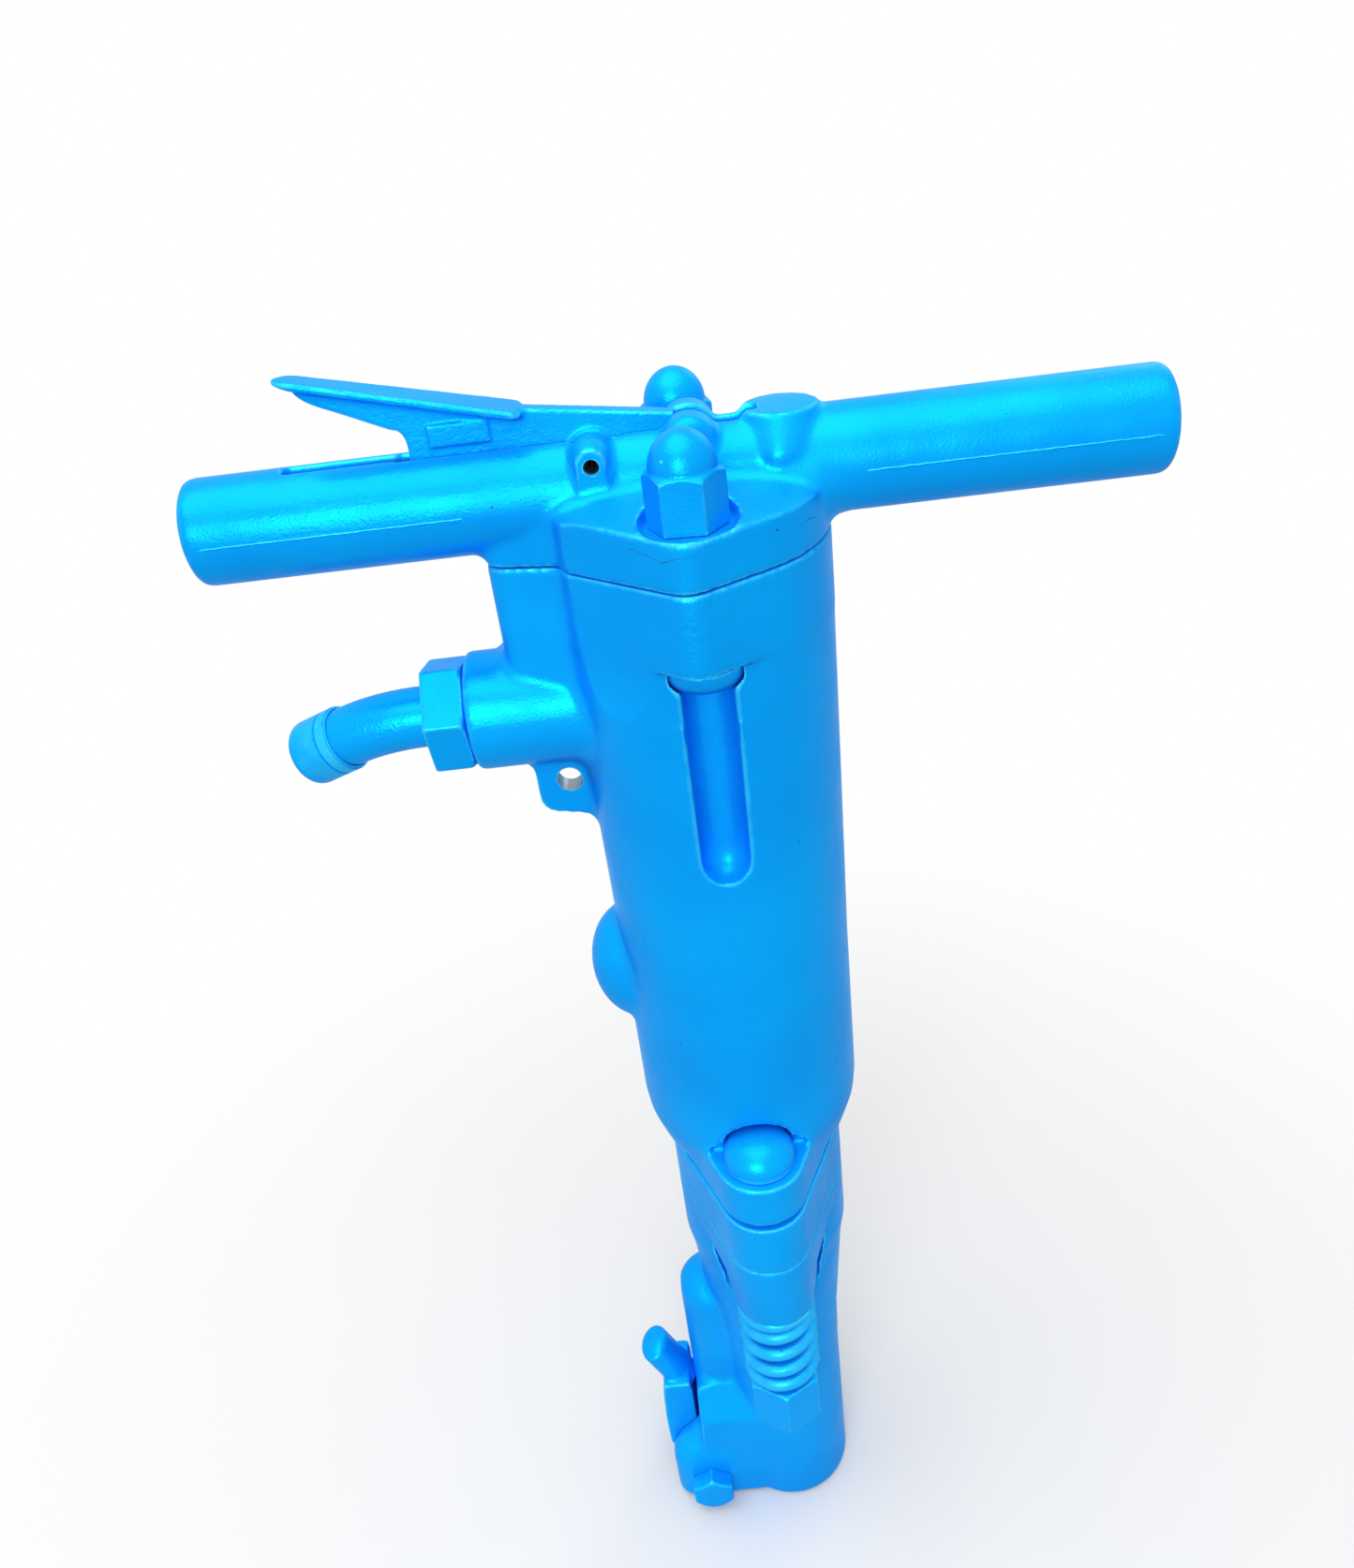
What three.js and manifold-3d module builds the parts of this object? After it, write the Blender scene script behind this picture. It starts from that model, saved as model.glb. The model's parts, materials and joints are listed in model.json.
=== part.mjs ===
// A pneumatic paving breaker of the ninety pound class, in millimetres, +Z up.
// The origin is the middle of the chuck's lower face, X runs along the handle bar
// towards the plain grip, and the throttle lever and the air inlet are on the -X side.
import * as THREE from 'three';
import { mergeVertices, toCreasedNormals } from 'three/addons/utils/BufferGeometryUtils.js';
import Module from 'manifold-3d';

const wasm = await Module();
wasm.setup();

// Driving dimensions of the whole tool
const seat = 0.3;
const over = 4;
const bore = { radius: 33.35, fit: 0.35, wall: 3.5 };
const level = { block: 273, cylinder: 308, backhead: 635, bar: 659.2 };

const bar = { radius: 21.3, half: 192.3, shift: -3.4, round: 4, flare: 6, flareLength: 16 };
const flange = { body: 57, reach: 45.2, ear: 20.5, shelf: 601, rim: 20, blend: 4 };
const crown = { height: 13 };
const chest = { end: -82, corner: 9, half: 7.5, root: -45, rootHalf: 14 };
const saddle = { at: 4, radius: 11, half: 18, rise: 5.5, round: 6 };
const funnel = { at: 39.5, wide: 15.5, deep: 15, foot: 6, rise: 2.8, drop: 20, bulge: 1.2 };

const lever = {
  pinX: -34, pinRise: 13.8, pinHole: 3.5, pin: 3.2, pinBore: 1.7, pinHalf: 19.5, pinSlit: 0.9,
  web: 3.7, slot: 4.1, slotStart: -155, slotEnd: 31, slotDrop: 18, shallowDrop: 2,
  deepStart: -111, deepEnd: -20, deepHalf: 5.1, hub: 8.6, hubHalf: 8.4, hubGap: 1.2,
  tip: -152, tipRise: 43, heel: -8, heelRise: 13.2, kneeX: -61, kneeRise: 20.8,
  thumb: 10, thumbTip: 7, thumbThick: 3.2, thumbEnd: -58, heelFoot: 2, shoulder: -104,
  pad: 1, padStart: -95, padEnd: -72, padLow: 10, padHigh: 18, underDrop: 10, underX: -143,
};
const pinPad = { radius: 7.8, half: 21.6, drop: 21 };

// Levels of the lever, all set from its pin.
const pinLevel = level.bar + lever.pinRise;
const tipLevel = pinLevel + lever.tipRise;
const kneeLevel = pinLevel + lever.kneeRise;
const heelLevel = pinLevel + lever.heelRise;
const heelFloor = pinLevel + lever.heelFoot;
const padFoot = pinLevel + lever.padLow;
const padTop = pinLevel + lever.padHigh;
const underLevel = tipLevel - lever.underDrop;
const slotFloor = pinLevel - lever.slotDrop;
const shallowFloor = pinLevel - lever.shallowDrop;

const backBolt = { radius: 7.94, clear: 2, head: 16.5, headThick: 10.5, flat: 38.6, hole: 0.36 };
const acorn = {
  flats: 27, hexHeight: 21.4, bevel: 4.7, dome: 13.4, domeHeight: 14.3, blindDepth: 18, turn: 23.5,
};
const acornFloor = level.backhead + flange.rim;
const hexTop = acornFloor + acorn.hexHeight;
const acornCrown = hexTop + acorn.domeHeight;
const blindTop = acornFloor + acorn.blindDepth;
const counterbore = { radius: 18.6 };

const barrel = {
  radius: 54.9, taperFoot: 430, topRadius: 56.7, shoulder: 340, nip: 324, neck: 44.8, nipShare: 0.94,
};
const relief = {
  half: 24, low: 12, face: 50.6, fall: 30, groove: 12, grooveAt: 52, grooveEnd: 504,
};
const stemBore = { radius: 22.4, length: 72 };
const stemTop = level.cylinder + stemBore.length;
const exhaust = { half: 9, length: 34, level: 478 };

const inlet = { level: 566.3, boss: 25.8, face: -101.5, stub: 17, stubEnd: -112.5, bore: 12, root: -40 };
const swivel = {
  flats: 44.45, start: -102.2, end: -120, lip: 3, turn: -13.2, bevel: 2.6, faceBevel: 1,
};
const gasket = { thick: 1.4 };
const spud = { radius: 13.35, bore: 9.5, flange: 16.7, flangeThick: 2.4, straight: -122.5, bend: 80 };
const collar = { radius: 14.9, length: 24, round: 4.6, grip: 17, neck: 0.6, neckWide: 1.6 };
const bendAngle = THREE.MathUtils.degToRad(28);
const bendTilt = THREE.MathUtils.degToRad(30);

const lug = { x: -65, z: 529.5, radius: 17, hole: 5.8, half: 5, rootX: -48, rootZ: 527 };
const blister = { x: -49, z: 420, out: 22, wide: 22, tall: 32 };

const valve = {
  x: -66, stem: 3.5, chamber: 11.5, head: 9, chamfer: 1, seatZ: 644, headThick: 6, guide: 3.8,
  bushing: 12.6, bushingTop: 652, bushingThick: 4, floor: 616, throat: 6.6,
};
const gallery = { radius: 5, level: 643, window: 3 };
const valveSpring = { radius: 5.6, wire: 0.9, turns: 3 };

const chamber = { radius: 34.5, fit: 0.3, floor: 600.6, lower: 12, travel: 3, port: 8, cavity: 30.5 };
const flapper = { outer: 27, inner: 12, thick: 3.5 };

const piston = { stem: 22, clear: 7.3, head: 60, groove: 1.2, grooveWide: 5, chamfer: 2 };
const anvil = {
  foot: 206.3, shoulder: 29.9, shoulderThick: 34, stem: 21.5, top: 317, travel: 4, chamfer: 2.5,
};
const anvilBushing = { outer: 30, fit: 0.4, top: 305 };
const block = { chamfer: 5 };

const rod = {
  reach: 56, radius: 11.1, ear: 22, hole: 11.6, earTop: 333, end: 127, chamfer: 1.5,
  pocket: 18.7, pocketHalf: 32, pocketBack: 48.2,
};
const rodHead = { radius: 17.5, rim: 3, crown: 14.4 };
const rodNut = { flats: 36.5, low: 133, high: 166, bevel: 2.8 };
const spring = { radius: 16.8, wire: 4.2, top: 229, turns: 4.9, closedPitch: 9.4, lift: 1.5 };

const head = {
  foot: 36, round: 3, low: 115, mid: 152, high: 186, neck: 219, shoulder: 233,
  midRadius: 37, highRadius: 39.8, neckRadius: 42.5, topRadius: 44.8,
  earLow: 21, scallop: 22.2, earBody: 24, earRoot: 35, earWaist: 244,
};
const chuck = {
  collar: 27, collarTop: 62, bushing: 25, flange: 29, flangeLow: 199, flangeTop: 206,
  flats: 32.4, mouth: 3, bore: 30.3,
};
const rib = { x: -36, radius: 20, top: 186, dome: 17 };
const cheek = {
  half: 33, slot: 16.4, out: -75, inner: -14, low: 2, corner: 10, shoulder: 58, crest: 92,
  crestX: -52, crestRound: 16, shoulderRound: 6,
};
const latch = {
  x: -52, z: 19, half: 15.9, lobe: 30, lobeRise: 1.6, lobeStart: -8, lobeSweep: 94, gap: 1.4,
  back: -76, front: -57.5, neck: 103, hole: 8.3, hub: 15,
  finger: 9, fingerHalf: 12.7, fingerX: -80.5, fingerZ: 129.5, rootX: -67.5, rootZ: 101,
};
const latchBolt = { radius: 7.9, flats: 23.4, head: 10, nut: 12, tail: 4, bevel: 2.6 };
const plunger = { x: -41, radius: 6.5, fit: 0.35, tip: 47.9, length: 46, boreTop: 168, stem: 3 };
const plungerSpring = { radius: 4.9, wire: 0.8, turns: 3 };

// Shapes

// Make a solid from a closed geometry, with its faces turned outwards.
function solid(geometry) {
  const bare = geometry.index ? geometry.toNonIndexed() : geometry.clone();
  bare.deleteAttribute('normal');
  bare.deleteAttribute('uv');
  const welded = mergeVertices(bare);
  const places = welded.attributes.position.array;
  const faces = [];
  let volume = 0;
  for (let i = 0; i < welded.index.count; i += 3) {
    const corners = [0, 1, 2].map((k) => welded.index.getX(i + k));
    if (new Set(corners).size === 3) {
      const [a, b, c] = corners.map((k) => new THREE.Vector3().fromArray(places, k * 3));
      volume += a.dot(b.cross(c));
      faces.push(corners);
    }
  }
  const outward = faces.map((face) => (volume < 0 ? face.toReversed() : face));
  return new wasm.Manifold(new wasm.Mesh({
    numProp: 3,
    vertProperties: new Float32Array(places),
    triVerts: new Uint32Array(outward.flat()),
  }));
}

function join(...solids) {
  return solids.reduce((whole, next) => whole.add(next));
}

function cut(whole, ...tools) {
  return tools.reduce((rest, tool) => rest.subtract(tool), whole);
}

// Revolve a profile of [radius, height] points about the Z axis.
function revolve(profile, sides = 24) {
  const points = profile.map(([radius, height]) => new THREE.Vector2(radius, height));
  return new THREE.LatheGeometry(points, sides).rotateX(Math.PI / 2);
}

function cylinder(radius, from, to, sides = 18) {
  return revolve([[0, from], [radius, from], [radius, to], [0, to]], sides);
}

function hexagon(flats, from, to) {
  return cylinder(flats / Math.sqrt(3), from, to, 6);
}

// A hexagon whose corners are turned off at thirty degrees, by a given depth at each end.
function bevelledHexagon(flats, low, high, lowBevel, highBevel) {
  const corner = flats / Math.sqrt(3);
  const slope = Math.tan(Math.PI / 6);
  const turned = revolve([
    [0, low],
    [corner - lowBevel, low],
    [corner, low + lowBevel * slope],
    [corner, high - highBevel * slope],
    [corner - highBevel, high],
    [0, high],
  ], 24);
  return solid(hexagon(flats, low, high)).intersect(solid(turned));
}

// Angles that step through a quarter turn.
function quarter(steps) {
  return Array.from({ length: steps + 1 }, (_, i) => (i / steps) * Math.PI / 2);
}

// The rounded edge of a profile at its low end, and at its high end.
function foot(radius, low, round, steps = 2) {
  return quarter(steps).map((t) => [
    radius - round * (1 - Math.sin(t)), low + round * (1 - Math.cos(t)),
  ]);
}

function brow(radius, high, round, steps = 2) {
  return quarter(steps).map((t) => [
    radius - round * (1 - Math.cos(t)), high - round * (1 - Math.sin(t)),
  ]);
}

// A ring profile runs up the outside and down the inside, and closes on itself.
function sleeve(outer, inner, from, to, sides = 24) {
  return revolve([[inner, from], [outer, from], [outer, to], [inner, to], [inner, from]], sides);
}

function alongX(geometry) {
  return geometry.rotateY(Math.PI / 2);
}

function alongY(geometry) {
  return geometry.rotateX(Math.PI / 2);
}

function box(x0, x1, y0, y1, z0, z1) {
  const geometry = new THREE.BoxGeometry(x1 - x0, y1 - y0, z1 - z0);
  return geometry.translate((x0 + x1) / 2, (y0 + y1) / 2, (z0 + z1) / 2);
}

// The outline of a band drawn tight round circles of [x, y, radius].
function band(circles, count = 32) {
  const outline = [];
  for (let i = 0; i < count; i += 1) {
    const angle = ((i + 0.5) / count) * Math.PI * 2;
    const across = Math.cos(angle);
    const up = Math.sin(angle);
    const reach = circles.map(([x, y, radius]) => x * across + y * up + radius);
    const [x, y, radius] = circles[reach.indexOf(Math.max(...reach))];
    outline.push([x + radius * across, y + radius * up]);
  }
  return outline;
}

function eared(body, reach, ear, count = 36) {
  return band([[0, 0, body], [0, reach, ear], [0, -reach, ear]], count);
}

// Skin sections of { outline, z, along, across } that all have as many points.
function loft(sections) {
  const places = [];
  const faces = [];
  const count = sections[0].outline.length;
  sections.forEach(({ outline, z, along = 1, across = 1 }) => {
    outline.forEach(([x, y]) => places.push(x * along, y * across, z));
  });
  for (let row = 0; row + 1 < sections.length; row += 1) {
    for (let i = 0; i < count; i += 1) {
      const here = row * count + i;
      const next = row * count + ((i + 1) % count);
      faces.push(here, next, next + count, here, next + count, here + count);
    }
  }
  const last = (sections.length - 1) * count;
  for (let i = 1; i + 1 < count; i += 1) {
    faces.push(0, i + 1, i, last, last + i, last + i + 1);
  }
  const geometry = new THREE.BufferGeometry();
  geometry.setAttribute('position', new THREE.Float32BufferAttribute(places, 3));
  geometry.setIndex(faces);
  return geometry;
}

function prism(outline, from, to) {
  return loft([{ outline, z: from }, { outline, z: to }]);
}

// A prism whose outline is drawn in X and Z, half its thickness to each side of y = 0.
function upright(outline, half) {
  return prism(outline, -half, half).rotateX(Math.PI / 2);
}

const coilSteps = 8;
const coilSides = 5;

// A helical wire that stands on one flat end and is cut flat at the other.
function coil({ radius, wire, turns, closedPitch, lift }, bottom, top) {
  const steps = Math.round(turns * coilSteps);
  const rest = top - bottom - 2 * (lift + closedPitch);
  const places = [];
  const faces = [];
  const centres = [];
  for (let i = 0; i <= steps; i += 1) {
    const turn = (i / steps) * turns;
    const lower = Math.min(turn, 1) + Math.max(0, turn - turns + 1);
    const active = THREE.MathUtils.clamp((turn - 1) / (turns - 2), 0, 1);
    const z = bottom + lift + lower * closedPitch + active * rest;
    const angle = turn * Math.PI * 2;
    centres.push(new THREE.Vector3(radius * Math.cos(angle), radius * Math.sin(angle), z));
    for (let k = 0; k < coilSides; k += 1) {
      const around = ((k + 0.5) / coilSides) * Math.PI * 2;
      const out = radius - wire * Math.cos(around);
      places.push(out * Math.cos(angle), out * Math.sin(angle), z + wire * Math.sin(around));
    }
  }
  for (let i = 0; i < steps; i += 1) {
    for (let k = 0; k < coilSides; k += 1) {
      const here = i * coilSides + k;
      const next = i * coilSides + ((k + 1) % coilSides);
      faces.push(here, next, next + coilSides, here, next + coilSides, here + coilSides);
    }
  }
  const last = steps * coilSides;
  for (let k = 1; k + 1 < coilSides; k += 1) {
    faces.push(0, k + 1, k, last, last + k, last + k + 1);
  }
  const geometry = new THREE.BufferGeometry();
  geometry.setAttribute('position', new THREE.Float32BufferAttribute(places, 3));
  geometry.setIndex(faces);
  const slab = cylinder(radius + wire + over, bottom, top, 8);
  return { piece: solid(geometry).intersect(solid(slab)), gap: leastGap(centres, wire) };
}

// The least gap between turns that lie at least half a turn apart along the wire.
function leastGap(centres, wire) {
  let least = Infinity;
  for (let i = 0; i < centres.length; i += 1) {
    for (let k = i + coilSteps / 2 + 1; k < centres.length; k += 1) {
      least = Math.min(least, centres[i].distanceTo(centres[k]) - 2 * wire);
    }
  }
  return least;
}

// Handle and throttle

function barCasting() {
  const grip = revolve([
    [0, bar.shift - bar.half],
    ...foot(bar.radius, bar.shift - bar.half, bar.round),
    ...brow(bar.radius, bar.shift + bar.half, bar.round),
    [0, bar.shift + bar.half],
  ], 28);
  const flareShares = [[1, 0], [0.42, 0.25], [0.12, 0.58], [0, 1]];
  const rise = flareShares.map(([up, out]) => [bar.radius + bar.flare * up, bar.flareLength * out]);
  const collarOf = (wall) => solid(alongX(revolve([
    [0, -bar.flareLength],
    [bar.radius + bar.flare, -bar.flareLength],
    ...rise,
    [0, bar.flareLength],
  ], 28)).translate(wall, 0, level.bar));
  const belowCrown = (half) => solid(box(
    -bar.half, bar.half, -half, half, level.backhead + seat, level.bar + bar.flare,
  ));
  const right = collarOf(flange.body - bar.flare).intersect(belowCrown(flange.body));
  const left = solid(geometryOf(collarOf(-chest.end - bar.flare)).rotateZ(Math.PI))
    .intersect(belowCrown(chest.half + chest.corner));
  return join(solid(alongX(grip).translate(0, 0, level.bar)), right, left);
}

const chestBand = band([
  [chest.end + chest.corner, chest.half, chest.corner],
  [chest.end + chest.corner, -chest.half, chest.corner],
  [chest.root, chest.rootHalf, chest.corner],
  [chest.root, -chest.rootHalf, chest.corner],
], 24);

function funnelBoss() {
  const top = level.bar + bar.radius + funnel.rise;
  const oval = (wide, deep) => band([[0, 0, 1]], 20).map(([x, y]) => [x * wide, y * deep]);
  const foot = bar.radius + funnel.bulge;
  return solid(loft([
    { outline: oval(funnel.foot, foot), z: top - funnel.drop },
    { outline: oval(funnel.wide - funnel.bulge, funnel.deep + funnel.bulge), z: top - funnel.rise },
    { outline: oval(funnel.wide, funnel.deep), z: top - funnel.bulge },
    { outline: oval(funnel.wide - funnel.bulge, funnel.deep - funnel.bulge), z: top },
  ]).translate(funnel.at, 0, 0));
}

function backhead() {
  const low = level.backhead + seat;
  const rim = level.backhead + flange.rim;
  const outline = eared(flange.body, flange.reach, flange.ear);
  const crownShares = [
    [1, 1, 0], [0.985, 0.95, 0.09], [0.96, 0.66, 0.34], [0.92, 0.4, 0.62], [0.86, 0.22, 1],
  ];
  const crownRows = crownShares.map(([along, across, up]) => (
    { outline, z: rim + crown.height * up, along, across }
  ));
  const plate = solid(loft([{ outline, z: low }, ...crownRows]));
  const airChest = solid(prism(chestBand, low, rim));
  const ridge = revolve([
    [0, -saddle.half],
    ...foot(saddle.radius, -saddle.half, saddle.round),
    ...brow(saddle.radius, saddle.half, saddle.round),
    [0, saddle.half],
  ], 20);
  const hump = solid(alongY(ridge).translate(
    saddle.at, 0, level.bar + bar.radius + saddle.rise - saddle.radius,
  ));
  const arch = [[lever.pinX, pinLevel, pinPad.radius], [lever.pinX, pinLevel - pinPad.drop, pinPad.radius]];
  const pads = solid(upright(band(arch, 24), pinPad.half));
  const whole = join(barCasting(), plate, airChest, hump, funnelBoss(), pads);
  const tall = level.bar + bar.radius + saddle.rise + over;
  const slot = join(
    solid(box(lever.slotStart, lever.slotEnd, -lever.slot, lever.slot, shallowFloor, tall)),
    solid(box(
      lever.deepStart, lever.deepEnd, -lever.deepHalf, lever.deepHalf, slotFloor, tall,
    )),
  );
  const pocketHalf = lever.hubHalf + seat;
  const hubPocket = alongY(cylinder(lever.hub + lever.hubGap, -pocketHalf, pocketHalf))
    .translate(lever.pinX, 0, pinLevel);
  const pinHole = alongY(cylinder(lever.pinHole, -pinPad.half - over, pinPad.half + over, 16))
    .translate(lever.pinX, 0, pinLevel);
  const seats = [1, -1].flatMap((side) => [
    cylinder(counterbore.radius, acornFloor, acornCrown, 28).translate(0, side * flange.reach, 0),
    cylinder(backBolt.radius + backBolt.hole, level.backhead - over, acornCrown)
      .translate(0, side * flange.reach, 0),
  ]);
  const valveBore = cylinder(valve.bushing + seat, level.backhead - over, valve.bushingTop + seat)
    .translate(valve.x, 0, 0);
  const stemHole = cylinder(valve.guide, valve.bushingTop, slotFloor + over, 16)
    .translate(valve.x, 0, 0);
  const cavityTop = gallery.level + gallery.radius;
  const cavity = cylinder(chamber.cavity, level.backhead - over, cavityTop);
  const airWay = alongX(cylinder(gallery.radius, valve.x, 0, 12)).translate(0, 0, gallery.level);
  return cut(whole, slot, ...[
    hubPocket, pinHole, ...seats, valveBore, stemHole, cavity, airWay,
  ].map(solid));
}

function throttleLever() {
  const slope = (x) => (x < lever.kneeX
    ? THREE.MathUtils.mapLinear(x, lever.tip, lever.kneeX, tipLevel, kneeLevel)
    : THREE.MathUtils.mapLinear(x, lever.kneeX, lever.heel, kneeLevel, heelLevel));
  const web = new THREE.Shape();
  web.moveTo(lever.underX, slope(lever.underX) - lever.thumbThick / 2);
  web.quadraticCurveTo(
    lever.underX, underLevel,
    (lever.underX * 2 + lever.shoulder) / 3, underLevel - (underLevel - padTop) / 3,
  );
  web.lineTo(lever.shoulder - lever.thumb / 2, padTop);
  web.quadraticCurveTo(lever.shoulder, padTop, lever.shoulder, padFoot);
  web.lineTo(lever.shoulder, heelFloor);
  web.lineTo(lever.heel - lever.thumbThick, heelFloor);
  web.quadraticCurveTo(lever.heel, heelFloor, lever.heel, heelLevel - lever.thumbThick);
  web.lineTo(lever.heel, heelLevel);
  web.lineTo(lever.kneeX, kneeLevel);
  const blade = new THREE.ExtrudeGeometry(web, {
    depth: lever.web * 2, bevelEnabled: false, curveSegments: 6,
  }).translate(0, 0, -lever.web).rotateX(Math.PI / 2);
  const thumbBand = band([
    [lever.tip + lever.thumbTip, 0, lever.thumbTip],
    [lever.thumbEnd - lever.thumb / 3, lever.thumb * 2 / 3, lever.thumb / 3],
    [lever.thumbEnd - lever.thumb / 3, -lever.thumb * 2 / 3, lever.thumb / 3],
  ], 24);
  const tabShares = [[-1, 0.07], [-0.7, 0], [-0.3, 0], [0, 0.05]];
  const thumb = loft(tabShares.map(([up, inset]) => ({
    outline: thumbBand.map(([x, y]) => [x + (lever.padStart - x) * inset, y * (1 - inset)]),
    z: lever.thumbThick * up,
  })));
  const pitch = Math.atan2(tipLevel - kneeLevel, lever.kneeX - lever.tip);
  thumb.translate(-lever.kneeX, 0, 0).rotateY(pitch).translate(lever.kneeX, 0, kneeLevel);
  const hub = alongY(cylinder(lever.hub, -lever.hubHalf, lever.hubHalf))
    .translate(lever.pinX, 0, pinLevel);
  const padHalf = lever.web + lever.pad;
  const badge = box(
    lever.padStart, lever.padEnd, -padHalf, padHalf, padFoot, padTop,
  );
  const hole = alongY(cylinder(lever.pinHole, -lever.hubHalf - over, lever.hubHalf + over, 16))
    .translate(lever.pinX, 0, pinLevel);
  return cut(join(...[blade, thumb, hub, badge].map(solid)), solid(hole));
}

function leverPin() {
  const pin = solid(alongY(sleeve(lever.pin, lever.pinBore, -lever.pinHalf, lever.pinHalf, 16)));
  const reach = lever.pinHalf + over;
  const slit = box(-lever.pinSlit / 2, lever.pinSlit / 2, -reach, reach, 0, lever.pin + over);
  return pin.subtract(solid(slit)).translate([lever.pinX, 0, pinLevel]);
}

const valveTop = heelFloor - seat;

function throttleValve() {
  const seatLow = valve.seatZ - valve.bushingThick - seat;
  const profile = [
    [0, seatLow - valve.headThick],
    [valve.head - valve.chamfer, seatLow - valve.headThick],
    [valve.head, seatLow - valve.headThick + valve.chamfer],
    [valve.head, seatLow],
    [valve.stem, seatLow],
    ...brow(valve.stem, valveTop, valve.stem, 3),
  ];
  return solid(revolve(profile, 16).translate(valve.x, 0, 0));
}

function throttleBushing() {
  const low = valve.seatZ - valve.bushingThick;
  const roof = valve.bushingTop - valve.bushingThick;
  const shell = solid(revolve([
    [valve.throat, low],
    [valve.bushing, low],
    [valve.bushing, valve.bushingTop],
    [valve.guide, valve.bushingTop],
    [valve.guide, roof],
    [valve.throat, roof],
    [valve.throat, low],
  ], 24));
  const window = alongX(cylinder(gallery.window, 0, valve.bushing + over, 10))
    .translate(0, 0, (valve.seatZ + roof) / 2);
  return shell.subtract(solid(window)).translate([valve.x, 0, 0]);
}

function throttleSpring() {
  const low = valve.floor + seat;
  const top = valve.seatZ - valve.bushingThick - seat - valve.headThick - seat;
  const size = { ...valveSpring, closedPitch: valveSpring.wire * 3, lift: valveSpring.wire };
  const { piece, gap } = coil(size, low, top);
  console.log('throttle valve spring, least gap to itself, mm', gap.toFixed(2));
  return piece.translate([valve.x, 0, 0]);
}

// Backhead fasteners

function backheadBolt(side) {
  const low = flange.shelf - seat;
  const shank = solid(cylinder(backBolt.radius, low - backBolt.headThick / 2, blindTop - backBolt.clear));
  const dishShares = [[0, 1], [0.7, 1], [1, 0.55], [1, 0], [0, 0]];
  const dish = revolve(dishShares.map(([out, down]) => [
    backBolt.head * out, low - backBolt.headThick * down,
  ]), 24);
  const reach = backBolt.head + over;
  const flat = box(-reach, reach, 0, backBolt.flat, low - backBolt.headThick - over, low + seat / 2);
  const whole = join(shank, solid(dish)).translate([0, flange.reach, 0]);
  const trimmed = whole.subtract(solid(flat));
  return side > 0 ? trimmed : solid(geometryOf(trimmed).rotateZ(Math.PI));
}

function acornNut(side) {
  const low = acornFloor + seat;
  const turn = THREE.MathUtils.degToRad(acorn.turn);
  const flats = solid(hexagon(acorn.flats, low, hexTop).rotateZ(turn));
  const corner = acorn.flats / Math.sqrt(3);
  const turned = revolve([
    [0, low - over],
    [corner + over, low - over],
    [corner + over, hexTop - acorn.bevel],
    [acorn.dome, hexTop],
    [0, hexTop],
  ], 24);
  const dome = revolve([
    [0, low],
    [acorn.dome, low],
    ...quarter(5).map((t) => [
      acorn.dome * Math.cos(t), hexTop + (acornCrown - hexTop) * Math.sin(t),
    ]),
  ], 20);
  const nut = join(flats.intersect(solid(turned)), solid(dome));
  const hole = solid(cylinder(backBolt.radius + seat, low - over, blindTop));
  return nut.subtract(hole).translate([0, side * flange.reach, 0]);
}

// Cylinder and what works inside it

// The flat under a bolt head narrows downwards to the width of the groove.
function reliefWedge(side, out) {
  const foot = flange.shelf - relief.fall;
  const outline = [
    [-relief.low, foot], [relief.low, foot], [relief.half, flange.shelf], [-relief.half, flange.shelf],
  ];
  const ends = [-side * relief.face, -side * out].sort((a, b) => a - b);
  return prism(outline, ...ends).rotateX(Math.PI / 2);
}

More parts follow.
